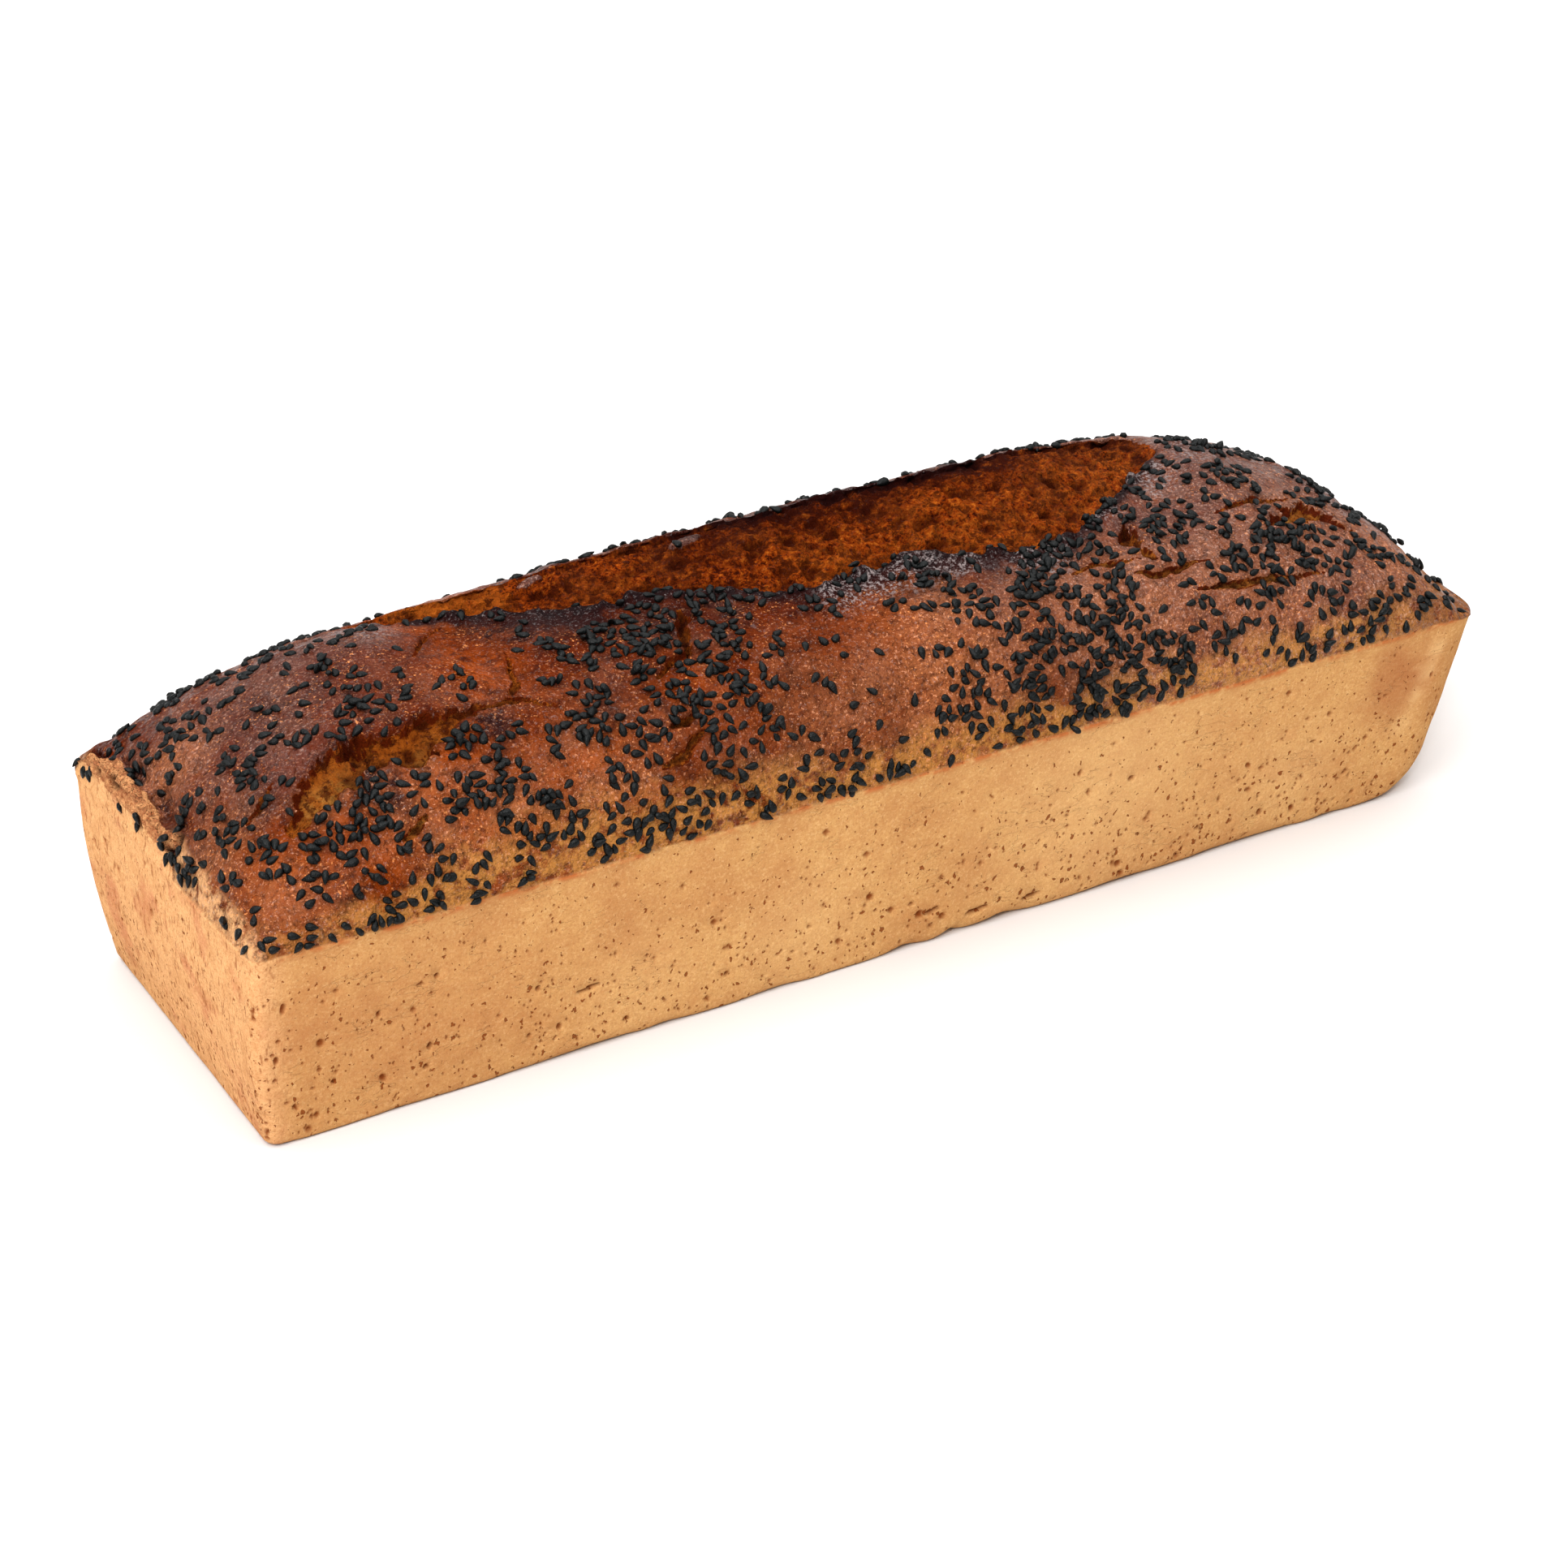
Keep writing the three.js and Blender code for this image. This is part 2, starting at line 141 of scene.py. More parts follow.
class StudioSettings(bpy.types.PropertyGroup):
    key_power: bpy.props.FloatProperty(
        name="Key light", description="Power of the soft light from the left", default=17.0,
        unit="POWER")
    top_power: bpy.props.FloatProperty(
        name="Top light", description="Power of the wide light overhead", default=126.0,
        unit="POWER")
    fill: bpy.props.FloatProperty(
        name="Room light", description="Strength of the white room", default=0.27)
    lens: bpy.props.FloatProperty(
        name="Lens", description="Focal length", default=111.8 * MM, unit="CAMERA")


def settings():
    scene = bpy.context.scene
    return scene.loaf_sizes, scene.loaf_seeds, scene.loaf_colours, scene.loaf_studio


# ---------------------------------------------------------------- small helpers

def clear_selection():
    if bpy.context.object and bpy.context.object.mode != "OBJECT":
        bpy.ops.object.mode_set(mode="OBJECT")
    bpy.ops.object.select_all(action="DESELECT")


def smooth(t):
    t = np.clip(t, 0, 1)
    return t * t * (3 - 2 * t)


def ramp(value, low, high):
    return smooth((value - low) / (high - low))


# Large odd numbers that scramble whole-number corners, then shifts and numbers that mix them.
SCRAMBLE = (374761393, 668265263, 1440662683, 1274126177)
MIXES = ((13, 1103515245), (15, 2654435761))
WORD = 0xFFFFFFFF


def hashed(x, y, z, seed):
    """A fixed random value from -1 to 1 for each whole-number corner."""
    h = sum(count * factor for count, factor in zip((x, y, z, seed), SCRAMBLE)) & WORD
    for shift, factor in MIXES:
        h = ((h ^ (h >> shift)) * factor) & WORD
    return ((h ^ (h >> 16)) & 0xFFFF) / 32767.5 - 1


def noise(points, size, seed=0):
    """Soft noise, about -1 to 1, whose bumps are as wide as size (one number or three)."""
    p = points / np.asarray(size, float)
    base = np.floor(p).astype(np.int64)
    f = p - base
    f = f * f * f * (f * (f * 6 - 15) + 10)
    total = 0
    for step in itertools.product((0, 1), repeat=3):
        share_x, share_y, share_z = np.where(step, f, 1 - f).T
        total = total + hashed(*(base + step).T, seed) * share_x * share_y * share_z
    return total


def layered(points, size, layers, seed=0, fall=0.5):
    """Noise in layers, each half as wide as the one before."""
    size = np.asarray(size, float)
    return sum(fall ** i * noise(points, size / 2 ** i, seed + 31 * i) for i in range(layers))


def along(x, size, seed):
    """Noise that changes along one line only."""
    zero = np.zeros_like(x)
    return noise(np.stack([x, zero, zero], 1), size, seed)


def vectors_of(items, name):
    """One vector of each of a mesh's items, such as its vertices, as an array."""
    flat = np.empty(len(items) * 3, np.float32)
    items.foreach_get(name, flat)
    return flat.reshape(-1, 3).astype(float)


def move_to(mesh, points):
    mesh.vertices.foreach_set("co", points.astype(np.float32).ravel())
    mesh.update()


def store(mesh, name, values):
    """Keeps one value for each vertex, for the material to read."""
    layer = mesh.attributes.new(name, "FLOAT", "POINT")
    layer.data.foreach_set("value", np.clip(values, 0, 1).astype(np.float32))


def finish_piece(piece):
    bpy.ops.object.shade_smooth()
    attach(piece, "root")


# ---------------------------------------------------------------- form of the bread

# Places along X are measured from the dome's middle, where the left end lies at LEFT_END.
LEFT_END = -150

# How far the base lies inside the rim on each side, and the roundings.
LEFT_TAPER_FRONT = 2.4
LEFT_TAPER_BACK = 5.4
RIGHT_TAPER = 7.8
SIDE_TAPER_LEFT = 3.2
SIDE_TAPER_RIGHT = 7.4
LEFT_WALL_BULGE = 1.6
LEFT_CORNER = 3
RIGHT_CORNER = 12
BASE_EDGE = 2
RIGHT_BASE_EDGE = 10.3

# The dome: fall of its height towards the ends, and reach of its four shoulders. It stops
# short of the right end, where the rim rolls down a little.
DOME_REACH = 150
DOME_END_FALL = 5.4
DOME_TILT = 1
FRONT_SHOULDER = 46.6
BACK_SHOULDER = 41
LEFT_SHOULDER = 53
RIGHT_SHOULDER = 90
DOME_STOP = 6.3
RIM_FALL = 2.6
RIM_FALL_REACH = 15.5

# The burst's near and far lips in plan, from left to right.
NEAR_LIP = (
    (-150, 0), (-112, 24), (-92, 26), (-72, 20), (-60, 14), (-52, 8), (-42, 5.5), (-30, 1),
    (-18, -3.5), (-8, -9), (0, -11.5), (8, -9), (20, -8), (32, -9.5), (40, -13), (50, -16.5),
    (60, -16), (66, -14), (72, -9), (84, -3.5), (88, 1), (93, 6), (98, 8.5), (102, 10),
    (106, 15), (112, 16), (150, 0),
)
FAR_LIP = (
    (-150, 21), (-112, 29), (-80, 28), (-50, 25), (50, 24), (85, 25), (108, 22.5), (150, 21),
)
BURST_START = -100
BURST_END = 108
BURST_START_RAMP = 28
BURST_END_RAMP = 14
FRONT_SINK = 5.5
LIP_RAISE = 1.4
LIP_FALLOFF = 5
LIP_STEP = 0.9
LIP_OVERHANG = 1.5
BURST_FULL_WIDTH = 30
FAR_LIP_STEP = 1

# The torn ear of dough on the left end, where the wall climbs above the rim.
EAR_RISE = 9.5
EAR_START = 44
EAR_END = -8
EAR_LEDGE = 1.8
EAR_REACH = 4

# Clefts in the ear, where seeds are caught: y, z, half width and half height.
CLEFT_DEPTH = 1.8
CLEFTS = (
    (8.9, 51.6, 0.9, 2.6), (-6.6, 55, 1.6, 1.6), (-4.6, 51.8, 1.6, 1.2), (-8.6, 50.9, 2.4, 1.1),
    (-15, 51.2, 2.2, 1), (20.3, 50.3, 0.7, 1.8), (21.5, 55.5, 1.6, 1.8), (13, 50.4, 0.9, 1.2),
    (31, 53.5, 1.2, 1),
)

# Seeds caught in them and on the ear's corner: y, z and how far each leans over.
CAUGHT_SEEDS = (
    (8.5, 53, 0.3), (9.5, 50.6, 0.2), (20.3, 50.1, 0.1), (-6.1, 55.8, -0.4), (-8, 54.4, 0.2),
    (-3.2, 52.4, 0.4), (-5, 50.9, 0.6), (-7.2, 51.6, 1.2), (-9.6, 50.6, 0.3), (-13, 51.3, 1),
    (-15, 50.2, 0.4), (-16.8, 51.4, 0.2), (42.3, 49.4, 0.8), (39.6, 49, 0.1), (36.6, 49.6, 0.5),
    (35, 51.4, 0.1),
)

# Softer spots of the long walls' lower edge: x, half length and extra rounding.
BASE_DENTS = (
    (12, 4, 2.2), (24, 3, 2.8), (39, 5, 2.2), (-21, 6, 1.4), (-52, 5, 1), (70, 8, 1),
)

# Cracks and torn patches: places along the middle as (x, y, width), then depth. Only narrow
# ones get painted shade in their depth.
NARROW_CRACK = 2.6
CRACKS = (
    (((-133, -30, 3), (-126.5, -26, 9.5), (-120, -23.2, 11.5), (-114, -21.8, 9),
      (-108, -23.5, 4.8), (-103, -25.3, 8), (-98, -22.7, 9.4), (-92, -21.5, 6.5),
      (-85, -20.5, 2)), 2.8),
    (((-117, -19.6, 1.6), (-114.6, -20.5, 4.6), (-111.5, -21.4, 2)), 5),
    (((-139, -21, 0.8), (-136, -20.3, 1.6), (-131, -17, 0.8)), 1),
    (((-74, 18.5, 0.5), (-80, 13.6, 0.8), (-85, 8, 0.9), (-90, 1, 0.6)), 0.9),
    (((-85, -20.5, 1.8), (-80, -20, 1.3), (-76, -21, 1.5), (-70, -24.5, 1)), 1.6),
    (((-70.8, -3.8, 0.7), (-73.2, -10.5, 0.9), (-74.1, -15.4, 1.2), (-77, -18.4, 1.8)), 1.5),
    (((-30.4, -4.8, 2.4), (-31.3, -8.6, 3.2), (-33.2, -12.5, 2.8), (-34.7, -16.3, 1.6),
      (-36.2, -20.2, 1.4), (-40.5, -22, 1.8), (-45.8, -24.9, 1.4)), 2.6),
    (((-113, -40.4, 0.8), (-109, -39.6, 1.2), (-106.8, -38.3, 0.8)), 1.2),
    (((-54, -41.7, 0.8), (-48, -40.6, 1.2), (-42.4, -38.3, 0.8)), 1.2),
    (((-49, -36.4, 0.8), (-45, -35.8, 1.2), (-41.4, -34.5, 0.8)), 1.2),
    (((76.6, -14.5, 2), (76.2, -18, 4.4), (75.5, -21, 5), (76, -26.8, 2.6)), 3),
    (((70.2, -30.6, 0.8), (74, -32, 1.8), (81.7, -31.1, 1.2), (89.4, -30.6, 0.7)), 1.2),
    (((82.7, -36.8, 0.7), (91.3, -37.3, 1.2), (101, -37.3, 1.1), (116.3, -37.3, 0.7)), 1.2),
    (((99, -18.2, 0.8), (108.6, -16.2, 1.6), (113.5, -15.3, 1.8), (121, -14.8, 1.2)), 1.4),
    (((110, -24, 2), (115.4, -23, 5), (121.2, -20.5, 6), (125, -18.8, 6), (128.8, -20.1, 5),
      (133.5, -25.5, 2)), 2.4),
    (((56, -26, 0.7), (62, -25.2, 1.4), (68, -26.4, 1.1), (73, -27, 0.6)), 0.8),
)

# Patches of the crust in plan: x, y, radius and strength of each.
# Dusky patches: a duller mauve crust whose tint is partly painted sheen, with painted glints on it.
DUSKY_SHEEN_PATCHES = (
    (105, -22, 42, 0.9), (142, 0, 40, 1), (62, -36, 18, 0.6), (34, -27, 13, 0.4),
    (-138, 12, 18, 0.7), (-112, 22, 18, 0.7), (-94, 19, 11, 0.6), (-30, 50, 34, 0.7),
    (80, 48, 36, 0.8), (-118, -8, 14, 0.4), (-132, -14, 10, 0.4),
)
MAROON_PATCHES = (
    (-113, -30, 7, 1.2), (-86, -25, 8, 1), (-66, 9, 8, 1.2), (-58, 4, 8, 1.2), (-124, 3, 9, 0.6),
    (-92, 12, 11, 0.4), (-46, -6, 13, 0.8), (-24, -10, 11, 0.8), (-3, -14, 10, 0.9),
    (22, -12, 12, 0.8), (60, -18, 7, 0.4), (-20, 34, 24, 0.3), (-46, 19, 13, 0.3),
    (-14, 17, 9, 0.5), (66, 13, 14, 0.5), (20, 24, 15, 0.9), (55, 25, 12, 0.6), (-25, 9, 8, 0.4),
    (-98, -22, 5, 0.5), (-134, -22, 6, 0.5), (-60, -29, 9, 0.7), (-18, -35, 8, 0.5),
)
ORANGE_PATCHES = (
    (-80, -12, 11, 0.75), (-60, -24, 13, 0.2), (-64, -38, 12, 0.9), (-36, -33, 13, 0.65),
    (-92, -37, 14, 1), (-120, -38, 12, 1), (-84, 20, 8, 0.5), (-12, -22, 12, 0.5),
    (10, -24, 10, 0.6), (110, -16, 7, 0.6), (104, -38, 10, 0.5), (78, -31, 7, 0.7),
    (122, -23, 8, 0.7), (-138, -36, 10, 0.8), (-82, 26, 14, 1), (-69, 25, 9, 1), (12, 3, 12, 0.9),
    (44, 2, 18, 1), (80, 8, 17, 1), (96, 17, 9, 0.8), (-30, 12, 14, 0.6),
    (-122, 24, 5, 0.6), (-100, -32, 6, 0.6), (-78, 0, 12, 0.6),
)
# Painted highlights: where grey glints lie on the lips and their scraps of crust.
LIP_GLINT_PATCHES = (
    (4, -15, 6, 1), (14, -13, 6, 0.9), (24, -13, 6, 1), (36, -15, 5, 0.8), (50, -19, 6, 1),
    (57, -19, 5, 0.7), (-66, 15, 5, 0.3), (-92, 19, 9, 0.6), (116, 18, 9, 0.7),
    (92, 0, 6, 0.9), (76, -9, 6, 0.8), (98, 4, 6, 0.7), (112, 8, 8, 0.6),
)

# Holes in the torn crumb: x, y, half length and half width.
CRUMB_HOLE_DEPTH = 1.6
CRUMB_HOLES = (
    (39.4, 5.5, 4.5, 1.6), (6.8, 11.8, 2, 1.6), (14, 14.8, 2, 1.2), (16.4, 9.6, 2.6, 2),
    (6, 3.2, 1.6, 1.2), (36, -0.3, 2.2, 1.6), (-1.8, 12.2, 4, 0.9), (-32.3, 10.2, 8, 1.1),
    (33.4, 8.4, 2, 1.2), (58.9, 10.4, 2.6, 1.1), (66.3, 0, 2, 1.2), (48.8, 12, 2, 1.2),
    (-52, 18.5, 2.2, 1), (-20, 6, 1.8, 1), (24, 16, 2.4, 1), (74, 9, 1.8, 1.2),
)

# Marks of the front wall: x, z, radius and strength of the browner and of the paler ones.
SMUDGES = (
    (134, 36, 7, 1), (136, 29, 7, 0.8), (131, 42, 5, 0.5), (143, 33, 4, 0.5),
    (-140, 28, 4, 0.45), (-116, 22, 30, 0.56), (-60, 30, 16, 0.25), (20, 26, 20, 0.1),
    (90, 20, 18, 0.2), (60, 40, 8, 0.2),
)
# The first four run up the right corner's rounding as a painted highlight.
PALE_SPOTS = (
    (144.5, 40, 2.4, 0.9), (143.7, 34, 2.2, 0.9), (142.6, 28, 2.2, 0.8), (140.6, 21, 2.6, 0.6),
    (110, 14, 14, 0.3), (-20, 14, 16, 0.3), (56, 26, 28, 0.4), (-60, 12, 14, 0.2),
)

# Paler crust, and paler dough where the patch lies in a tear.
PALE_PATCHES = (
    (18, -42, 19, 1), (-16, -43, 14, 0.6), (62, -38, 20, 0.9), (100, -42, 20, 0.8),
    (138, -32, 14, 0.9), (122, -14, 12, 0.5), (-66, -44, 16, 0.6), (-145, -20, 9, 0.7),
    (-140, -40, 9, 0.6), (24, -22, 8, 0.6), (-126, -27, 4, 1.2), (-119, -26, 4, 0.8),
    (-102, -28, 2.6, 1), (-97, -24, 3, 0.4), (118, -23, 4, 0.6), (-142, 10, 9, 0.9),
    (-72, 25, 7, 0.7), (-60, 21, 5, 0.5), (-108, -38, 10, 0.6), (-90, -42, 9, 0.5),
)

# Pits and slits of the front wall: x, z, half length, half height, lean and depth.
WALL_PITS = (
    (-73.8, 16.2, 3.6, 0.5, 0.16, 1.3), (-110.8, 14.1, 0.7, 1, 0, 1.5), (61.6, 28.8, 1, 0.7, 0, 1),
    (11.7, 8.8, 2.2, 0.7, 0.2, 1.3), (23.7, 5.2, 3.4, 0.7, 0.1, 1.4), (37.8, 4.4, 2.6, 0.6, 0.1, 1.2),
    (-143.7, 34.2, 0.7, 1.6, -0.2, 0.8), (-145.6, 22.1, 0.7, 1.1, 0, 0.8), (-64.3, 5.4, 1, 0.7, 0, 1),
    (-85.8, 20.5, 0.6, 0.7, 0, 0.9), (-109.2, 31.3, 0.7, 0.7, 0, 0.9), (-111.7, 9, 0.9, 0.7, 0.2, 1),
    (-122.4, 25.8, 0.5, 1.1, -0.4, 0.8), (-80.5, 8.8, 0.8, 0.9, 0, 1), (-87.6, 8.9, 0.7, 0.7, 0, 0.9),
    (-112.9, 30.3, 1, 0.4, 0.2, 0.8), (-141.6, 9.1, 0.8, 0.6, 0, 0.8), (6, 12.5, 0.9, 0.6, 0.1, 0.9),
    (-40, 9, 0.9, 0.7, 0.1, 0.9), (82, 9, 0.8, 0.6, 0, 0.8), (-20, 15, 0.6, 0.5, 0, 0.8),
)

# Scraps of crust left on the crumb: x, y, half length and half width.
FLAP_RISE = 0.9
FLAPS = ((-15, 19.3, 5, 1.3), (-51.5, 22.5, 3.2, 1))

# Where seeds lie thickly, and where few lie: x, y, radius and strength of each patch.
SEED_PATCHES = (
    (-132, 2, 16, 0.2), (-112, -12, 9, 0.7), (-136, -12, 9, 0.4), (-124, 14, 8, 0.4),
    (-124, -39, 9, 0.9), (-140, 32, 10, 0.3), (-48, -4, 8, 0.9), (-34, -4, 6, 0.7),
    (-20, -8, 7, 1.9), (-47, -14, 7, 1.2), (-30, -15, 6, 1.4), (-19, -15, 7, 0.9),
    (-60, -12, 8, 0.5), (-41, -24, 8, 1), (-29, -22, 6, 0.6), (-46, -31, 9, 0.8), (-36, -30, 8, 0.9),
    (-57, -30, 6, 0.5), (-36, -41, 10, 0.7), (-46, -45, 12, 1.2), (-125, -45, 8, 1.2),
    (6, -14, 5, 0.8), (22, -13, 5, 0.8), (31, -13, 6, 1.6), (46, -20, 7, 2), (56, -22, 8, 1.3),
    (65, -20, 7, 1.4), (79, -14, 5, 1.4), (86, -16, 7, 1.6), (86, -23, 5, 1.5), (95, -8, 7, 0.3),
    (148, -38, 9, 0.9), (50, -32, 10, 1.4), (102, -27, 8, 0.9), (111, -29, 7, 2), (119, -30, 7, 1.1),
    (50, -40, 11, 1.5), (26, -38, 8, 0.1), (92, -42, 8, 1.3), (108, 2, 9, 1), (134, -16, 8, 0.5),
    (64, -40, 8, 0.3), (30, -45, 10, 1), (56, -45, 8, 1.1), (74, -36, 8, 0.2), (-66, -22, 6, 0.3),
    (-96, -33, 9, 0.5), (-80, -36, 9, 0.5), (-66, -31, 7, 0.6), (-88, -42, 8, 0.6),
    (-60, -41, 8, 0.6), (6, -25, 5, 0.7), (-116, -36, 8, 0.4), (-138, 9, 8, 0.9),
)
BARE_PATCHES = (
    (-86, 0, 13, 0.9), (-88, 14, 10, 0.7), (-66, 14, 10, 0.9), (-53, 11, 8, 0.9), (-43, 6, 7, 0.75),
    (-74, -12, 9, 0.6), (-4, -32, 13, 0.65), (-9, -22, 8, 0.85), (14, -22, 8, 0.55),
    (16, -30, 8, 0.3), (-112, 4, 6, 0.3), (-70, 2, 8, 0.7), (127, -5, 7, 0.5),
    (-114, 22, 10, 0.3), (-104, -40, 7, 0.4), (97, -14, 6, 0.5), (66, -31, 6, 0.4), (70, -39, 7, 0.4),
    (26, -37, 7, 0.4), (8, -45, 6, 0.5),
)

# Parts of the dome from front to back, and where the rows of the grid across it fall, from the
# front rim (0) to the back one (1).
FRONT, LIP, FLOOR, STEP, BACK = range(5)
ROW_CREST = 0.42
ROW_FOOT = 0.46
ROW_FLOOR_END = 0.72
ROW_FAR = 0.745
RIM_CROWDING = 1.4
END_CROWDING = 0.3

# Cuts of the starting block along X, Y and Z. Each cell is then halved as many times as the
# level says. The block reaches from -1 to 1, and what lies beyond ON_FACE is on a face of it.
BLOCK_CELLS = (75, 32, 10)
FINE_LEVEL = 3
ON_FACE = 0.9999

# Reach in plan of what lies along the lips: a level, then hills on it as x, width and height.
NEAR_BURN = (1.8, (-54, 15, 4), (24, 30, 3))
FAR_BURN = (2, (20, 34, 4))
FAR_SHADE = (6, (25, 42, 6))
FRONT_BAND = 11
FRONT_BAND_HILL = (-75, 42, 4)
BACK_BAND = 5

# Pores of the walls: how many, their radii and how high they lie.
PORES = 1100
PORE_RADIUS = 0.36
PORE_SPREAD = 0.16
LARGEST_PORE = 1.2
PORE_HEIGHTS = (1.2, 46)


def hill(x, place, width):
    """1 at its place, and less the farther x lies from it."""
    return np.exp(-((x - place) / width) ** 2)


def hills(x, level, *each):
    """A level with hills on it along x, each given as its place, width and height."""
    for place, width, height in each:
        level = level + height * hill(x, place, width)
    return level


def oval(a, b, spot, slope=0.0):
    """Distance from an oval's middle, 1 on its outline; the slope tilts its long way."""
    place_a, place_b, half_a, half_b = spot
    return np.hypot((a - place_a) / half_a, (b - place_b - slope * (a - place_a)) / half_b)


def away(distance):
    """A distance, or 0 for places on the nearer side."""
    return np.clip(distance, 0, 99)


def near_lip(x):
    jag = 0.9 * along(x, 9, 3) + 0.5 * along(x, 3.1, 4)
    return np.interp(x, *zip(*NEAR_LIP)) + jag * opening(x)


def far_lip(x):
    jag = 1.1 * along(x, 16, 7) + 0.8 * along(x, 8, 5) + 0.4 * along(x, 2.7, 6)
    return np.interp(x, *zip(*FAR_LIP)) + jag * opening(x)


def opening(x):
    """How open the burst is at x: 0 where the crust is whole, 1 where it gapes."""
    start = ramp(x, BURST_START, BURST_START + BURST_START_RAMP)
    return start * (1 - ramp(x, BURST_END - BURST_END_RAMP, BURST_END))


def shoulder(distance, reach):
    t = np.clip(distance / reach, 0, 1)
    return np.sqrt(1 - (1 - t) ** 2)


def right_end(size):
    return LEFT_END + size.length / MM


def middle(size):
    """How far the dome's middle lies from the middle of the whole loaf."""
    return np.array([LEFT_END + size.length / MM / 2, 0, 0])


def dome_rise(x, y, size):
    half_width = size.width / 2 / MM
    share = x / DOME_REACH
    crown = size.dome_rise / MM + DOME_TILT * share - DOME_END_FALL * share ** 2
    to_stop = right_end(size) - DOME_STOP - x
    ends = shoulder(x - LEFT_END, LEFT_SHOULDER) * shoulder(to_stop, RIGHT_SHOULDER)
    sides = shoulder(y + half_width, FRONT_SHOULDER) * shoulder(half_width - y, BACK_SHOULDER)
    return crown * ends * sides


def rim_at(x, size):
    """Height of the rim, which rolls down near the right end."""
    close = np.clip(1 - (right_end(size) - x) / RIM_FALL_REACH, 0, 1)
    return size.rim_height / MM - RIM_FALL * close ** 2


def ear_rise(y):
    """Height of the ear's ragged edge above the rim."""
    return EAR_RISE + 1.0 * along(y, 6.3, 21) + 0.7 * along(y, 2.3, 22)


def ear_share(y):
    t = np.clip((y - EAR_END) / (EAR_START - EAR_END), 0, 1)
    return np.sin(np.pi * t) ** 0.6


def crust_height(x, y, near, far, size):
    """Height of the crust on the near side of the burst, sunk and raised at its lip."""
    half_width = size.width / 2 / MM
    rise = dome_rise(x, y, size)
    share = rise / (size.dome_rise / MM)
    open_here = opening(x)
    behind = ramp(y, near, far)
    front = smooth((y + half_width) / (near + half_width))
    sink = FRONT_SINK * open_here * share * np.where(y < near, front, 1 - behind)
    lip = LIP_RAISE * open_here * np.exp(np.minimum(y - near, 0) / LIP_FALLOFF)
    return rim_at(x, size) + rise - sink + np.where(y <= near, lip, 0)


def floor_height(x, across, near, far, size):
    """Height of the torn crumb, from the foot of the near lip (0) to the far one (1)."""
    rise = dome_rise(x, near + (far - near) * across, size)
    share = rise / (size.dome_rise / MM)
    open_here = opening(x)
    sink = FRONT_SINK * open_here * share * (1 - smooth(across))
    wide = np.clip((far - near) / BURST_FULL_WIDTH, 0, 1)
    drop = size.burst_depth / MM * wide * (1 - across) ** 1.3 + FAR_LIP_STEP
    return rim_at(x, size) + rise - sink - open_here * drop


def rounded_edge(z, radius):
    t = np.clip(1 - z / radius, 0, 1)
    return radius * (1 - np.sqrt(1 - t * t))


def round_corners(x, y, left, right, half):
    """Moves points near the corners of each rectangle onto rounded corners."""
    side = np.where(x > 0, 1, -1)
    radius = np.where(x > 0, RIGHT_CORNER, LEFT_CORNER)
    centre_x = np.where(x > 0, right - radius, left + radius)
    centre_y = half - radius
    a = np.clip(side * (x - centre_x) / radius, 0, 1)
    b = np.clip((np.abs(y) - centre_y) / radius, 0, 1)
    corner = (a > 0) & (b > 0)
    new_x = centre_x + side * radius * a * np.sqrt(1 - b * b / 2)
    new_y = np.sign(y) * (centre_y + radius * b * np.sqrt(1 - a * a / 2))
    return np.where(corner, new_x, x), np.where(corner, new_y, y)


def patches_at(x, y, patches):
    """Strength at each plan point of soft round patches."""
    total = np.zeros_like(x)
    for place_x, place_y, radius, strength in patches:
        distance = (x - place_x) ** 2 + (y - place_y) ** 2
        total += strength * np.exp(-distance / radius ** 2)
    return total


def crack_lines():
    """Each crack as closely set points, with its half width and depth at each."""
    for line, depth in CRACKS:
        steps = np.linspace(0, len(line) - 1, 14 * len(line))
        x, y, width = (np.interp(steps, range(len(line)), values) for values in zip(*line))
        ends = np.sin(np.pi * np.linspace(0.02, 0.98, len(steps))) ** 0.35
        yield np.stack([x, y], 1), width / 2 * ends, depth * ends


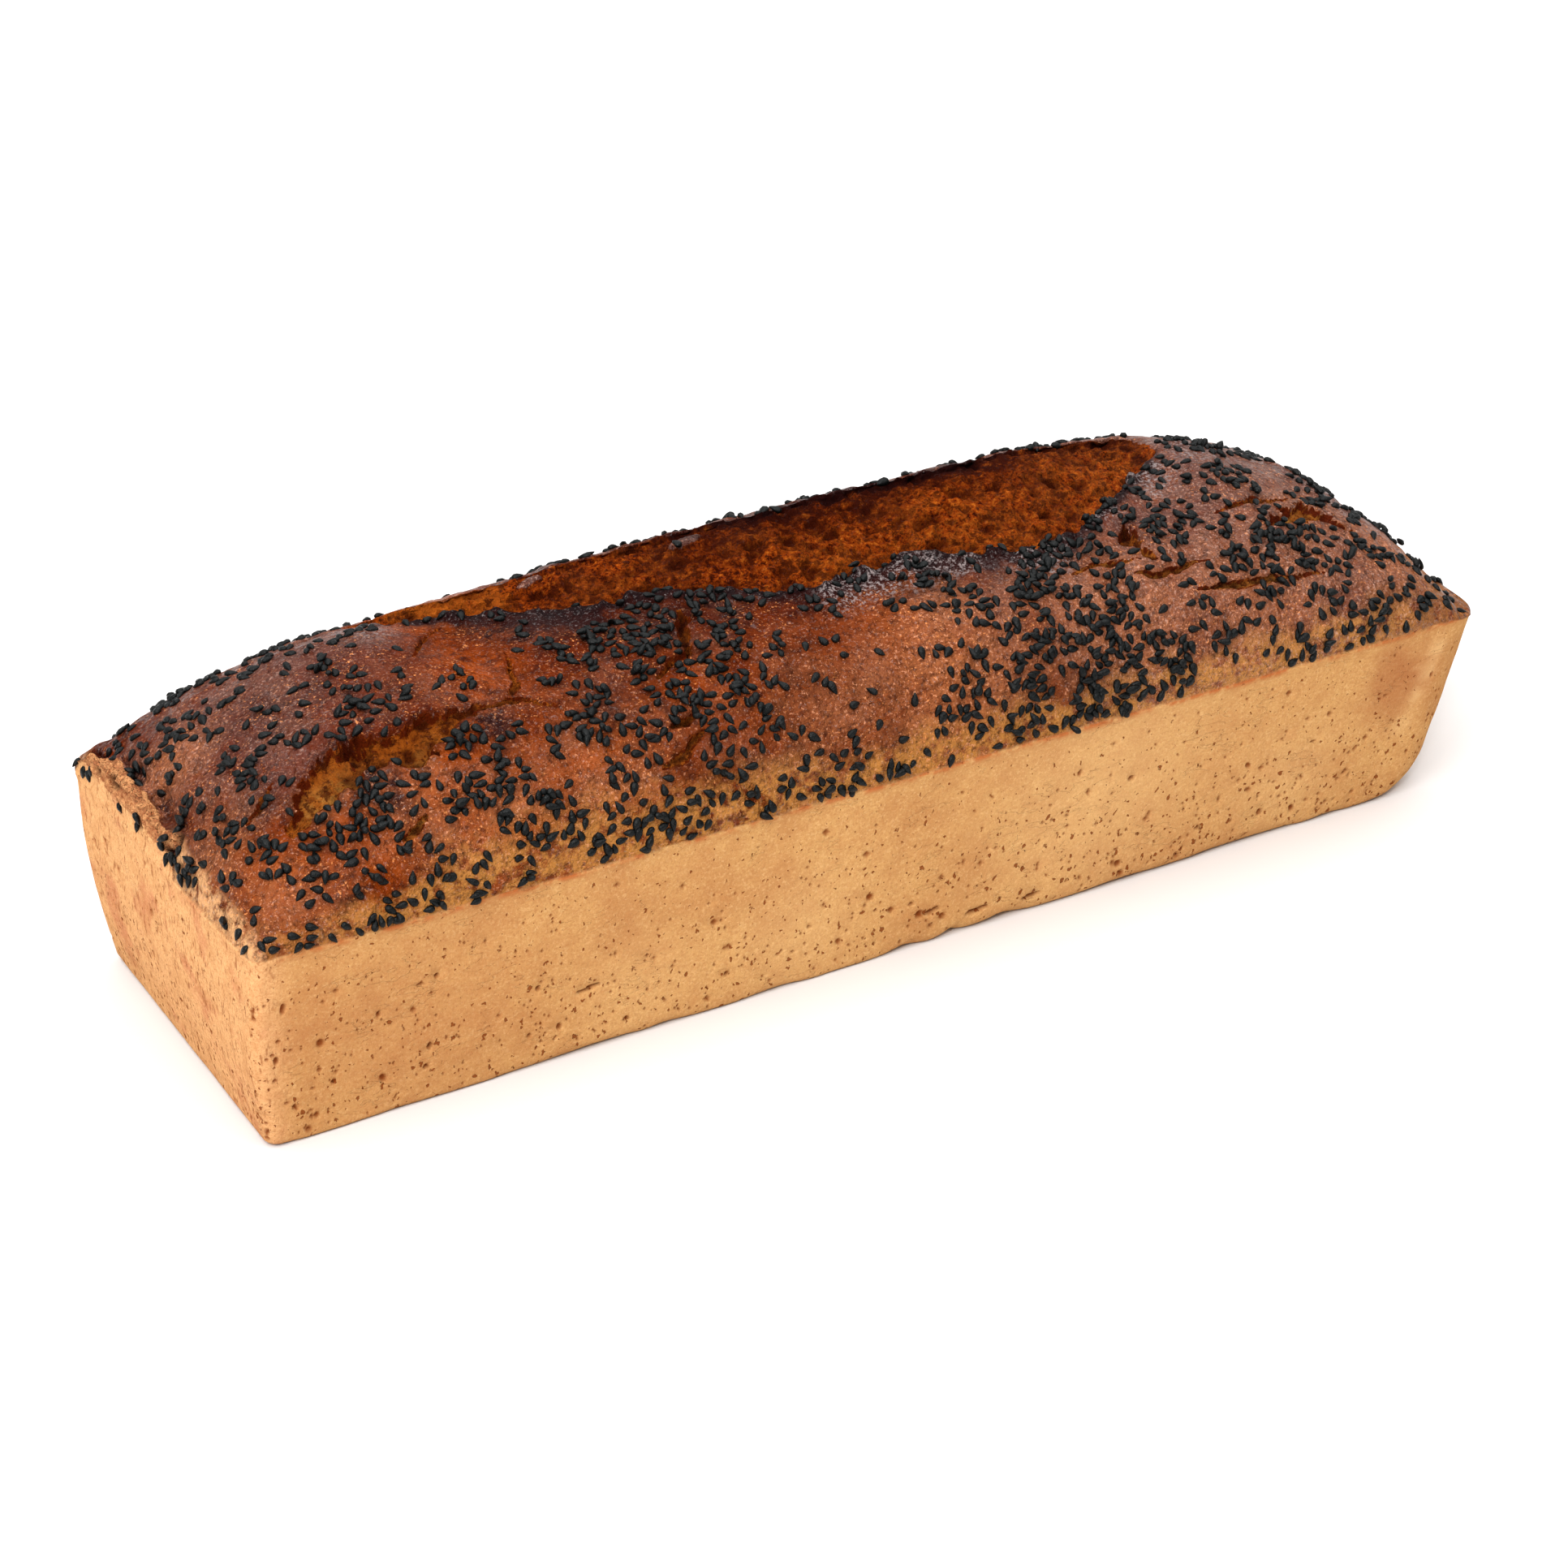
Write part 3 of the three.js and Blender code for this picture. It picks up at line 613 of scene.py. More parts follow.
def crack_fields(x, y):
    """Depth of all cracks at plan points, their torn crumb, curls, scorched rims and painted shade."""
    depth, torn, curl, rust, shade = (np.zeros_like(x) for _ in range(5))
    flat = np.stack([x, y, np.zeros_like(x)], 1)
    fray = 0.8 * noise(flat, 3, 41) + 0.7 * noise(flat, 1.3, 42)
    bends = np.stack([0.9 * noise(flat, 5, 45 + axis) + noise(flat, 1.9, 47 + axis)
                      for axis in (0, 1)], 1)
    for places, half, deep in crack_lines():
        reach = half.max() + 5
        low, high = places.min(0) - reach, places.max(0) + reach
        close = np.where((x > low[0]) & (x < high[0]) & (y > low[1]) & (y < high[1]))[0]
        if not len(close):
            continue
        sway = bends[close] * min(half.max() / 2, 1)
        offsets = (flat[close, :2] + sway)[:, None] - places[None]
        distance = np.hypot(offsets[..., 0], offsets[..., 1])
        best = (distance - half).argmin(1)
        width = half[best]
        order = np.arange(len(close))
        gap = distance[order, best] - width - 0.4 * np.minimum(width, 1.6) * fray[close]
        beyond = offsets[order, best, 1] > 0
        shown = 1 - ramp(gap, -0.05, 0.4)
        wall = np.where(beyond, 0.35, np.clip(width / 2, 0.4, 1.2))
        rim_wide = np.where(beyond, 1.3, 0.5) * np.clip(width / 2, 0.2, 1)
        found = [
            (depth, deep[best] * (1 - ramp(gap, -wall, 0.1))),
            (torn, shown),
            (rust, shown * ramp(gap, -rim_wide, 0)),
            (curl, hill(gap, 1, 0.7) * np.clip(width / 2, 0.3, 0.7)),
        ]
        # Narrow cracks get painted shade in their depth.
        if half.max() < NARROW_CRACK:
            found.append((shade, 1 - ramp(gap, -0.8 * width, -0.2 * width)))
        for field, values in found:
            field[close] = np.maximum(field[close], values)
    return depth, torn, curl * (torn < 0.3), rust, shade


# ---------------------------------------------------------------- bread body

def cut_block(block):
    """Cuts the block into cells: its edges along each axis are split in turn."""
    bpy.context.tool_settings.mesh_select_mode = (False, True, False)
    bpy.ops.object.mode_set(mode="EDIT")
    for axis, cells in enumerate(BLOCK_CELLS):
        edit = bmesh.from_edit_mesh(block.data)
        for face in edit.faces:
            face.select = False
        for edge in edit.edges:
            run = edge.verts[0].co - edge.verts[1].co
            edge.select = abs(run[axis]) > 1e-6
        bmesh.update_edit_mesh(block.data)
        bpy.ops.mesh.subdivide(number_cuts=cells - 1)
    bpy.ops.object.mode_set(mode="OBJECT")


def refine(block):
    halving = block.modifiers.new("Halve cells", "SUBSURF")
    halving.subdivision_type = "SIMPLE"
    halving.levels = halving.render_levels = FINE_LEVEL
    bpy.ops.object.modifier_apply(modifier=halving.name)


def thin_out(piece, triangles):
    piece.data.calc_loop_triangles()
    thin = piece.modifiers.new("Thin out", "DECIMATE")
    thin.ratio = triangles / len(piece.data.loop_triangles)
    bpy.ops.object.modifier_apply(modifier=thin.name)


def parts_across(row):
    """Which part of the dome each row lies in, and how far it has come along each part."""
    part = np.select([row <= ROW_CREST, row < ROW_FOOT, row <= ROW_FLOOR_END, row < ROW_FAR],
                     [FRONT, LIP, FLOOR, STEP], BACK)
    ends = ((0, ROW_CREST), (ROW_CREST, ROW_FOOT), (ROW_FOOT, ROW_FLOOR_END),
            (ROW_FLOOR_END, ROW_FAR), (1, ROW_FAR))
    return part, [np.clip((row - start) / (end - start), 0, 1) for start, end in ends]


def dome_points(x, row, size):
    """Plan places and heights of the dome's rows, and what is known of each place there."""
    half_width = size.width / 2 / MM
    near, far = near_lip(x), far_lip(x)
    part, (front_t, lip_t, floor_t, far_t, back_t) = parts_across(row)
    foot_y, end_y = near + LIP_STEP, far - LIP_STEP
    y = np.choose(part, [
        -half_width + (near + half_width) * front_t ** RIM_CROWDING,
        near + LIP_STEP * lip_t,
        foot_y + (end_y - foot_y) * floor_t,
        end_y + LIP_STEP * far_t,
        half_width + (far - half_width) * back_t ** RIM_CROWDING])

    crest_z, far_z, crust_z = (crust_height(x, at, near, far, size) for at in (near, far, y))
    foot_z, floor_z, end_z = (floor_height(x, t, near, far, size)
                              for t in (np.zeros_like(x), floor_t, np.ones_like(x)))
    z = np.choose(part, [
        crust_z,
        crest_z + (foot_z - crest_z) * smooth(lip_t) ** 0.8,
        floor_z,
        end_z + (far_z - end_z) * smooth(far_t),
        crust_z])
    places = {
        "x": x, "y": y, "near": near, "far": far, "open": opening(x),
        "in_burst": (part > FRONT) & (part < BACK),
        "lip_t": np.where(part == LIP, lip_t, np.where(part == FRONT, 0, 1)),
    }

    # The near lip rolls over and is undercut; the crumb behind it comes along.
    tuck = 0.8 * np.sin(np.pi * np.clip(1.6 * lip_t, 0, 1)) - (1 + LIP_OVERHANG) * ramp(lip_t, 0.35, 1)
    fade = 1 - ramp(floor_t, 0, 0.12)
    leaning_y = y + places["open"] * np.where(part == LIP, tuck, 0)
    leaning_y -= places["open"] * np.where(part == FLOOR, (1 + LIP_OVERHANG) * fade, 0)
    return leaning_y, z, places


def draw_in(x, y, z, rim, on_dome, size):
    """Draws the walls in towards the base, and rounds the loaf's edges and corners."""
    length, half_width = size.length / MM, size.width / 2 / MM
    up = np.clip(z / rim, 0, 1)
    along_share = (x - LEFT_END) / length
    across_share = (y + half_width) / (2 * half_width)
    left_taper = LEFT_TAPER_FRONT + (LEFT_TAPER_BACK - LEFT_TAPER_FRONT) * across_share
    side_taper = SIDE_TAPER_LEFT + (SIDE_TAPER_RIGHT - SIDE_TAPER_LEFT) * along_share
    bulge = LEFT_WALL_BULGE * np.sin(np.pi * up)
    base_edge = BASE_EDGE * (1 + 0.5 * along(x, 34, 8) + 0.3 * along(x, 7, 9))
    for place, half_long, extra in BASE_DENTS:
        base_edge = base_edge + extra * hill(x, place, half_long) * (y < 0)
    left = LEFT_END + left_taper * (1 - up) - bulge + rounded_edge(z, BASE_EDGE)
    right = LEFT_END + length - RIGHT_TAPER * (1 - up) - rounded_edge(z, RIGHT_BASE_EDGE)
    half = half_width - side_taper * (1 - up) - rounded_edge(z, base_edge)
    left = np.where(on_dome, LEFT_END, left)
    right = np.where(on_dome, LEFT_END + length, right)
    half = np.where(on_dome, half_width, half)
    return round_corners(left + (right - left) * along_share, y / half_width * half,
                         left, right, half)


def raise_loaf(grid, size):
    """Turns points of the cut block (-1 to 1 each way) into the loaf's form."""
    u, v, w = grid.T
    x = (1 - END_CROWDING) * u + END_CROWDING * np.sin(np.pi / 2 * u)
    x = LEFT_END + size.length / MM * (x + 1) / 2
    rim = rim_at(x, size)
    y, z, places = dome_points(x, (v + 1) / 2, size)

    inward = np.clip((x - LEFT_END) / EAR_REACH, 0, 1)
    ear = rim + (ear_rise(y) + EAR_LEDGE * inward) * ear_share(y)
    z = np.where(inward < 1, np.maximum(z, ear), z)

    top = w > ON_FACE
    edge = (np.abs(u) > ON_FACE) | (np.abs(v) > ON_FACE)
    on_dome = top & ~edge
    wall_top = rim + np.where(u < -ON_FACE, ear_rise(y) * ear_share(y), 0)
    z = np.where(on_dome, z, wall_top * ((w + 1) / 2))
    x, y = draw_in(x, y, z, rim, on_dome, size)
    places.update(top=top, edge=edge, in_burst=places["in_burst"] & top)
    return np.stack([x, y, z], 1), places


def lip_burns(places, wander, fine):
    """How burnt each spot near the lips is: the near one widely where it stands highest."""
    x, y = places["x"], places["y"]
    to_near, to_far = places["near"] - y, places["far"] - y
    reach = hills(x, *NEAR_BURN) * (1 + 0.55 * wander)
    near_char = np.exp(-away(to_near) / reach) * (to_near > -1.2)
    burns = 0.1 + 0.38 * ramp(x, -30, 0) * (1 - ramp(x, 55, 80))
    into = hills(x, *FAR_BURN) + 1.5 * wander
    far_char = burns * np.exp(-away(to_far) / into) * np.exp(-away(-to_far) / 2)
    char = places["open"] * np.maximum(near_char, far_char)
    return np.clip(char * (1 + 0.5 * fine), 0, 1)


def rim_band(above, places, wander):
    """The soft paler band just above the rim, from its height above it."""
    x, y, top = places["x"], places["y"], places["top"]
    reach = hills(x, FRONT_BAND + 4 * wander, FRONT_BAND_HILL)
    reach = reach * (0.5 + 0.5 * ramp(x, -140, -100))
    reach = np.where(y < 0, reach, BACK_BAND + 2.5 * wander)
    band = np.where(top, 1 - ramp(above, 0.35 * reach, reach), 0)
    band = band * (0.5 + 0.5 * ramp(x, -146, -110)) * (1 - ramp(x, 118, 146) * 0.6)
    corner = 1 - ramp(x - LEFT_END + wander, 1, 3)
    return np.maximum(band, 0.8 * corner * (1 - ramp(y, -9, 0)) * top)


def ear_masks(points, places, rim, wander, fine):
    """The ragged ear, the seam between it and the crust, and its clefts."""
    y, top = places["y"], places["top"]
    inward = places["x"] - LEFT_END
    end = 2.6 + 1.2 * wander + 0.5 * fine
    risen = ramp(ear_share(y), 0.1, 0.5)
    on_top = (1 - ramp(inward, end - 0.6, end + 0.6)) * risen * top
    on_side = ramp(points[:, 2], rim + 0.5 + 2 * wander, rim + 8) * (inward < 2) * risen
    seam = hill(inward - end, 1.2, 0.8) * risen * top
    seam = np.clip(seam * (0.9 + 1.1 * along(y, 6, 23)), 0, 1)
    cleft = np.zeros_like(inward)
    for spot in CLEFTS:
        offset = oval(points[:, 1], points[:, 2], spot) + 0.25 * fine
        cleft = np.maximum(cleft, (1 - ramp(offset, 0.6, 1.1)) * (inward < EAR_REACH))
    return np.where(top, on_top, on_side), seam, cleft


def masks_of(points, places, size):
    """What each spot of the bread is, as masks, and the depth and curl of its cracks."""
    rim = size.rim_height / MM
    x, y, top = places["x"], places["y"], places["top"]
    height = points[:, 2]
    wander, fine = noise(points, 7, 61), noise(points, 2.2, 62)

    def patched(patches, waver, extra=0.0):
        return np.clip(patches_at(x, y, patches) + waver * wander + extra, 0, 1) * top

    on_crust = top & ~places["in_burst"]
    depth, torn, curl, rust, shade = (np.where(on_crust, field, 0) for field in crack_fields(x, y))
    burst = np.where(places["in_burst"], ramp(places["open"], 0.02, 0.3), 0)
    burst = burst * ramp(places["lip_t"], 0.35, 0.8)
    flap = np.zeros_like(x)
    for spot in FLAPS:
        flap = np.maximum(flap, (1 - ramp(oval(x, y, spot, 0.25) + 0.35 * fine, 0.8, 1.05)) * top)

    char = lip_burns(places, wander, fine)
    # Painted shade on the crumb under the far lip, laid in with the maroon patches.
    under_far = hill(away(places["far"] - y), 0, hills(x, *FAR_SHADE) + 2.5 * wander)
    shaded = under_far * ramp(x, -35, 5) * burst * 0.75
    ear, seam, cleft = ear_masks(points, places, rim, wander, fine)
    maroon = patched(MAROON_PATCHES, 0.2, shaded) + 0.7 * curl + ramp(seam, 0.3, 0.8)
    rim_line = hill(height - rim, -0.6, 0.9) * (1 - ear) * (points[:, 0] > LEFT_END + 3)
    in_front = ~top & (y < 6 - size.width / 2 / MM)
    pale_crust = patches_at(x, y, PALE_PATCHES) + 0.2 * wander
    pale_wall = patches_at(x, height, PALE_SPOTS) * in_front
    masks = {
        "crumb": np.maximum(burst, torn) * (1 - flap),
        "char": char,
        "band": rim_band(height - rim, places, wander),
        "dusky_sheen": patched(DUSKY_SHEEN_PATCHES, 0.25, flap) * (1 - 0.7 * char),
        "wall": np.where(top, 0.0, 1.0),
        "ear": ear,
        "maroon": np.clip(maroon, 0, 1),
        "orange": patched(ORANGE_PATCHES, 0.2),
        "rim": rim_line,
        "inner": torn,
        "lip_glint": patched(LIP_GLINT_PATCHES, 0.2, 0.3 * flap),
        "flap": flap,
        "smudge": patches_at(x, height, SMUDGES) * in_front,
        "pale": np.where(top, pale_crust, pale_wall),
        "rust": rust,
        # Painted shade in the ear's clefts and in narrow cracks.
        "cleft": np.maximum(cleft, 0.7 * shade),
        "end": 1 - ramp(points[:, 0], -149, -140),
    }
    return masks, depth + 1.8 * seam, curl


def surface_relief(points, masks, places, depth, curl):
    """How far each spot stands out of the plain form, and the painted shade of the crumb's and ear's
    hollows.
    """
    crumb, wall, ear = masks["crumb"], masks["wall"], masks["ear"]
    height = points[:, 2]
    swell = 0.55 * layered(points, 21, 2, 71) + 0.35 * layered(points, 8, 2, 70)
    skin = 0.3 * layered(points, 4.5, 2, 72) + 0.17 * noise(points, 1.7, 73)
    burnt = masks["char"] * (1.25 * layered(points, 3.4, 2, 78))
    calm = np.where(places["edge"], 0.3, 1)
    crust = (swell + skin + burnt + 0.5 * curl) * calm * (1 - wall)

    clods = 0.8 * noise(points, 9, 79) + 0.7 * layered(points, 3.2, 3, 74, 0.7)
    pits = np.clip(noise(points, (2.8, 2, 2), 75) - 0.25, 0, 1)
    rough = clods + 0.35 * noise(points, 1.4, 80) - 2 * pits
    inner = np.where(masks["inner"] > 0.3, 0.7, 1)

    flat_wall = 0.3 * layered(points, 24, 2, 76) + 0.08 * noise(points, 4, 77)
    walls = (flat_wall + 0.35 * hill(height, 46.6, 1.1)) * wall * ramp(height, 0.2, 3)
    rag = layered(points, 3.6, 4, 81, 0.7)
    ragged = ear * (1.1 * rag + 0.3)
    relief = crust * (1 - crumb) + inner * rough * crumb * (1 - wall) + walls + ragged - depth
    relief += FLAP_RISE * masks["flap"]
    relief -= CLEFT_DEPTH * masks["cleft"] * (ear > 0)
    for spot in CRUMB_HOLES:
        offset = oval(points[:, 0], points[:, 1], spot, 0.15)
        hole = (1 - ramp(offset + 0.2 * clods, 0.5, 1.1)) * crumb * places["in_burst"]
        relief -= CRUMB_HOLE_DEPTH * hole
        pits = np.maximum(pits, 0.6 * hole)
    # Painted shade: the crumb's pits and low clods, and the low ragged parts of the ear.
    hollow_shade = np.clip(0.15 - 0.25 * clods + 1.6 * pits, 0, 1)
    return relief, np.where(ear > 0.3, np.clip(0.25 - 1.1 * rag, 0, 1), hollow_shade)


def press_pores(points, directions, wall, count, rng):
    """Presses round and slanted pores into the walls, most of them low; depth and mask."""
    tree = KDTree(len(wall))
    for i, k in enumerate(wall):
        tree.insert(points[k], i)
    tree.balance()
    depth, mask = np.zeros(len(points)), np.zeros(len(points))
    low = np.clip(1.25 - points[wall, 2] / 38, 0.12, 1) ** 1.2
    for pick in rng.choice(len(wall), size=count, replace=False, p=low / low.sum()):
        k = wall[pick]
        radius = min(PORE_RADIUS + rng.exponential(PORE_SPREAD), LARGEST_PORE)
        stretch = rng.uniform(0.55, 1)
        lean = rng.normal(0, 0.5)
        normal = Vector(directions[k])
        up = Vector((0, 0, 1)) - normal * normal.z
        up.normalize()
        aside = normal.cross(up)
        long_way = np.array(up * math.cos(lean) + aside * math.sin(lean))
        short_way = np.array(aside * math.cos(lean) - up * math.sin(lean))
        for place, i, _ in tree.find_range(points[k], radius * 1.6):
            offset = np.array(place) - points[k]
            a = offset @ long_way / radius
            b = offset @ short_way / (radius * stretch)
            hit = 1 - min(math.hypot(a, b) / 1.15, 1)
            j = wall[i]
            depth[j] = max(depth[j], hit ** 0.7 * radius * 0.9)
            mask[j] = max(mask[j], min(hit * 2.2, 1))
    return depth, mask


def press_pits(points, wall, depth, mask):
    """Adds the front wall's own pits and slits to the depth and mask of its pores."""
    front = wall[points[wall, 1] < -30]
    for place_x, place_z, half_long, half_high, lean, deep in WALL_PITS:
        off_x, off_z = points[front, 0] - place_x, points[front, 2] - place_z
        a = (off_x * math.cos(lean) + off_z * math.sin(lean)) / half_long
        b = (off_z * math.cos(lean) - off_x * math.sin(lean)) / half_high
        hit = 1 - ramp(np.hypot(a, b), 0.5, 1.1)
        depth[front] = np.maximum(depth[front], deep * hit)
        mask[front] = np.maximum(mask[front], hit)


class BREAD_OT_bake_loaf(bpy.types.Operator):
    """Makes the loaf's body: a cut block raised to the loaf's form, torn and textured"""
    bl_idname = "bread.bake_loaf"
    bl_label = "Bake the loaf"

    def execute(self, context):
        size, _, colours, _ = settings()
        clear_selection()
        bpy.ops.mesh.primitive_cube_add(size=2)
        loaf = context.object
        loaf.name = loaf.data.name = "crusty_loaf"
        cut_block(loaf)
        refine(loaf)
        mesh = loaf.data
        points, places = raise_loaf(vectors_of(mesh.vertices, "co"), size)
        masks, depth, curl = masks_of(points, places, size)
        move_to(mesh, points * MM)
        outward = vectors_of(mesh.vertex_normals, "vector")

        height = points[:, 2]
        lowest, highest = PORE_HEIGHTS
        wall = np.where((masks["wall"] > 0.5) & (height > lowest) & (height < highest))[0]
        pores = PORES
        pore_depth, masks["pore"] = press_pores(points, outward, wall, pores,
                                                np.random.default_rng(5))
        press_pits(points, wall, pore_depth, masks["pore"])
        relief, masks["hollow_shade"] = surface_relief(points, masks, places, depth, curl)
        points = points + outward * (relief - pore_depth)[:, None]
        points[:, 2] = np.maximum(points[:, 2], 0)
        move_to(mesh, (points - middle(size)) * MM)
        for name in MASKS:
            store(mesh, name, masks[name])
        thin_out(loaf, size.triangles)
        mesh.materials.append(bread_material(colours))
        finish_piece(loaf)
        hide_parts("loaf")
        return {"FINISHED"}


# ---------------------------------------------------------------- seeds

# A gap between two seeds counts as 1 where they touch. Below OVERLAPPING one lies on the other,
# which a piled seed may do down to TIGHTEST, on as many as MOST_UNDER_PILED others, and only
# in front of PILES_END.
OVERLAPPING = 0.9
TIGHTEST = 0.4
MOST_UNDER_PILED = 2
PILES_END = 14

# Most seeds in a clump, tries to find a spot for each, and size of the cells that spots are
# looked up by.
LARGEST_CLUMP = 7
TRIES = 6
SEED_CELL = 3


def seed_form():
    """One seed, long along X: three-sided, blunt at one end and pointed at the other."""
    clear_selection()
    bpy.ops.mesh.primitive_uv_sphere_add(segments=6, ring_count=6, radius=1)
    model = bpy.context.object
    places = vectors_of(model.data.vertices, "co")[:, [2, 0, 1]]
    faces = [tuple(face.vertices) for face in model.data.polygons]
    bpy.data.objects.remove(model, do_unlink=True)
    angle = np.arctan2(places[:, 2], places[:, 1])
    ridge = 1 + 0.17 * np.cos(3 * angle)
    pinch = 1 - 0.5 * places[:, 0] - 0.14 * places[:, 0] ** 2
    places[:, 1] *= ridge * pinch
    places[:, 2] *= ridge * pinch
    return places / 2, faces


def seed_density(points):
    """How thickly seeds lie at each spot of the crust."""
    x, y, z = points.T
    flat = np.stack([x, y, np.zeros_like(x)], 1)
    patches = patches_at(x, y, SEED_PATCHES)
    elsewhere = np.clip(0.6 + 0.7 * noise(points, 12, 81), 0.1, 2)
    shown = 1 - ramp(y, 22, 32)
    density = shown * (0.56 + 0.8 * patches) + (1 - shown) * elsewhere
    density *= 1 - np.clip(patches_at(x, y, BARE_PATCHES), 0, 0.95)
    density *= np.clip(1 + 0.75 * noise(flat, 5.5, 82), 0.15, 2)
    at_rim = (z < 50.2) & (y < -30)
    runs = np.clip(0.65 + 1.6 * along(x, 22, 83), 0.15, 2.2)
    return np.where(at_rim, density + runs, density)


def half_across(share):
    """Half a seed's extent in a direction that lies along its length by this share."""
    return 1 / math.sqrt(share ** 2 / 1.4 ** 2 + (1 - share ** 2) / 0.82 ** 2)


def axes_for(way, turn):
    """Directions of a seed's length, breadth and thickness, turned about the surface's way."""
    first = np.cross(way, [0.3, 1.0, 0.2])
    first /= np.linalg.norm(first)
    long_way = math.cos(turn) * first + math.sin(turn) * np.cross(way, first)
    return np.stack([long_way, np.cross(way, long_way), way])


def turned(a, b, angle):
    """Two coordinates turned by an angle in their plane."""
    return math.cos(angle) * a - math.sin(angle) * b, math.sin(angle) * a + math.cos(angle) * b


class Crust:
    """The baked surface: finds spots that take a seed and what lies near them."""

    def __init__(self, loaf, size):
        mesh = loaf.data
        mesh.calc_loop_triangles()
        corners = np.empty(len(mesh.loop_triangles) * 3, np.int32)
        mesh.loop_triangles.foreach_get("vertices", corners)
        corners = corners.reshape(-1, 3)
        points = vectors_of(mesh.vertices, "co") / MM + middle(size)
        self.tree = BVHTree.FromPolygons(points.tolist(), corners.tolist())
        a, b, c = (points[corners[:, i]] for i in range(3))
        cross = np.cross(b - a, c - a)
        area = np.linalg.norm(cross, axis=1)
        self.facing = cross / np.maximum(area[:, None], 1e-9)
        self.middle = (a + b + c) / 3
        self.takes = self.facing[:, 2] > -0.05
        for name, most in (("wall", 0.3), ("crumb", 0.15), ("ear", 0.5)):
            values = np.empty(len(mesh.vertices), np.float32)
            mesh.attributes[name].data.foreach_get("value", values)
            self.takes &= values[corners].mean(1) < most
        weight = area * seed_density(self.middle) * self.takes
        self.chance = weight / weight.sum()
        self.cells = {}
        self.placed = []

    def nearest(self, spot):
        """Nearest place on the surface, its face, and the mean way it faces around there."""
        place, _, face, _ = self.tree.find_nearest(spot.tolist())
        ways = [self.facing[hit[2]] for hit in self.tree.find_nearest_range(place, 1.1)]
        way = np.mean(ways, axis=0) if ways else self.facing[face]
        return np.array(place), face, way / np.linalg.norm(way)

    def crowd(self, spot, long_way):
        """How many seeds a new one would overlap, and its tightest gap: 1 where two touch."""
        cell = np.floor(spot / SEED_CELL).astype(int)
        gaps = [9.0]
        for step in itertools.product((-1, 0, 1), repeat=3):
            for other, other_way in self.cells.get(tuple(cell + step), ()):
                apart = spot - other
                distance = max(np.linalg.norm(apart), 1e-3)
                reach = sum(half_across(apart @ way / distance) for way in (long_way, other_way))
                gaps.append(distance / reach)
        return sum(gap < OVERLAPPING for gap in gaps), min(gaps)

    def add(self, spot, axes, stacked):
        cell = tuple(np.floor(spot / SEED_CELL).astype(int))
        self.cells.setdefault(cell, []).append((spot, axes[0]))
        self.placed.append((spot, axes, stacked))


def drop_seed(crust, fallen, clump, stacking, rng):
    """Drops a seed beside one of its clump, or where the first fell; true if it stays there."""
    if clump:
        start = clump[rng.integers(len(clump))]
        step = rng.normal(0, 1, 3)
        step *= rng.uniform(1.7, 3.2) / np.linalg.norm(step)
    else:
        start, step = fallen, rng.normal(0, 0.4, 3)
    spot, face, way = crust.nearest(start + step)
    axes = axes_for(way, rng.uniform(0, 2 * math.pi))
    crowd, gap = crust.crowd(spot, axes[0])
    stacked = gap < OVERLAPPING
    has_room = gap > TIGHTEST and crowd <= MOST_UNDER_PILED and spot[1] < PILES_END
    piled = has_room and rng.random() < stacking
    stays = crust.takes[face] and (piled or not stacked)
    if stays:
        crust.add(spot, axes, stacked)
        clump.append(spot)
    return stays


def strewn_places(crust, seeds, rng):
    """Spots for seeds: clumps of one to seven grow from seeds that fell by chance."""
    for y, z, turn in CAUGHT_SEEDS:
        spot, _, way = crust.nearest(np.array([LEFT_END - 1, y, z]))
        crust.add(spot, axes_for(way, turn), False)
    for pick in rng.choice(len(crust.chance), p=crust.chance, size=seeds.count):
        clump = []
        for _ in range(min(rng.geometric(1 / (1 + seeds.clumping)), LARGEST_CLUMP)):
            for _ in range(TRIES):
                if drop_seed(crust, crust.middle[pick], clump, seeds.stacking, rng):
                    break
            if len(crust.placed) >= seeds.count:
                return crust.placed
    return crust.placed


def seed_body(form, seeds, rng, axes, stacked):
    """One seed's points about its own middle: rolled, sized, leant and laid along its axes."""
    scale = np.array([seeds.length, seeds.width, seeds.thickness]) / MM
    scale = scale * rng.normal(1, 0.07) * rng.uniform(0.88, 1.12, 3)
    x, y, z = form.T
    y, z = turned(y, z, rng.normal(0, 0.5) + rng.integers(3) * 2 * math.pi / 3)
    x, y, z = x * scale[0], y * scale[1], z * scale[2]
    x, z = turned(x, z, rng.normal(0, 0.4 if stacked else 0.15))
    lift = scale[2] * (0.85 if stacked else 0.14)
    return np.stack([x, y, z], 1) @ axes + axes[2] * lift


class BREAD_OT_strew_seeds(bpy.types.Operator):
    """Strews black seeds over the crust, lying flat, leaning and piled in clumps"""
    bl_idname = "bread.strew_seeds"
    bl_label = "Strew the seeds"

    def execute(self, context):
        size, seeds, colours, _ = settings()
        rng = np.random.default_rng(seeds.random_seed)
        form, faces = seed_form()
        crust = Crust(bpy.data.objects["crusty_loaf"], size)
        bodies = [spot + seed_body(form, seeds, rng, axes, stacked)
                  for spot, axes, stacked in strewn_places(crust, seeds, rng)]
        shells = [tuple(i + number * len(form) for i in face)
                  for number in range(len(bodies)) for face in faces]
        mesh = bpy.data.meshes.new("black_seeds")
        shifted = np.concatenate(bodies) - middle(size)
        mesh.from_pydata(shifted * MM, [], shells)
        mesh.update()
        piece = bpy.data.objects.new("black_seeds", mesh)
        context.collection.objects.link(piece)
        clear_selection()
        piece.select_set(True)
        context.view_layer.objects.active = piece
        mesh.materials.append(seed_material(colours))
        finish_piece(piece)
        return {"FINISHED"}


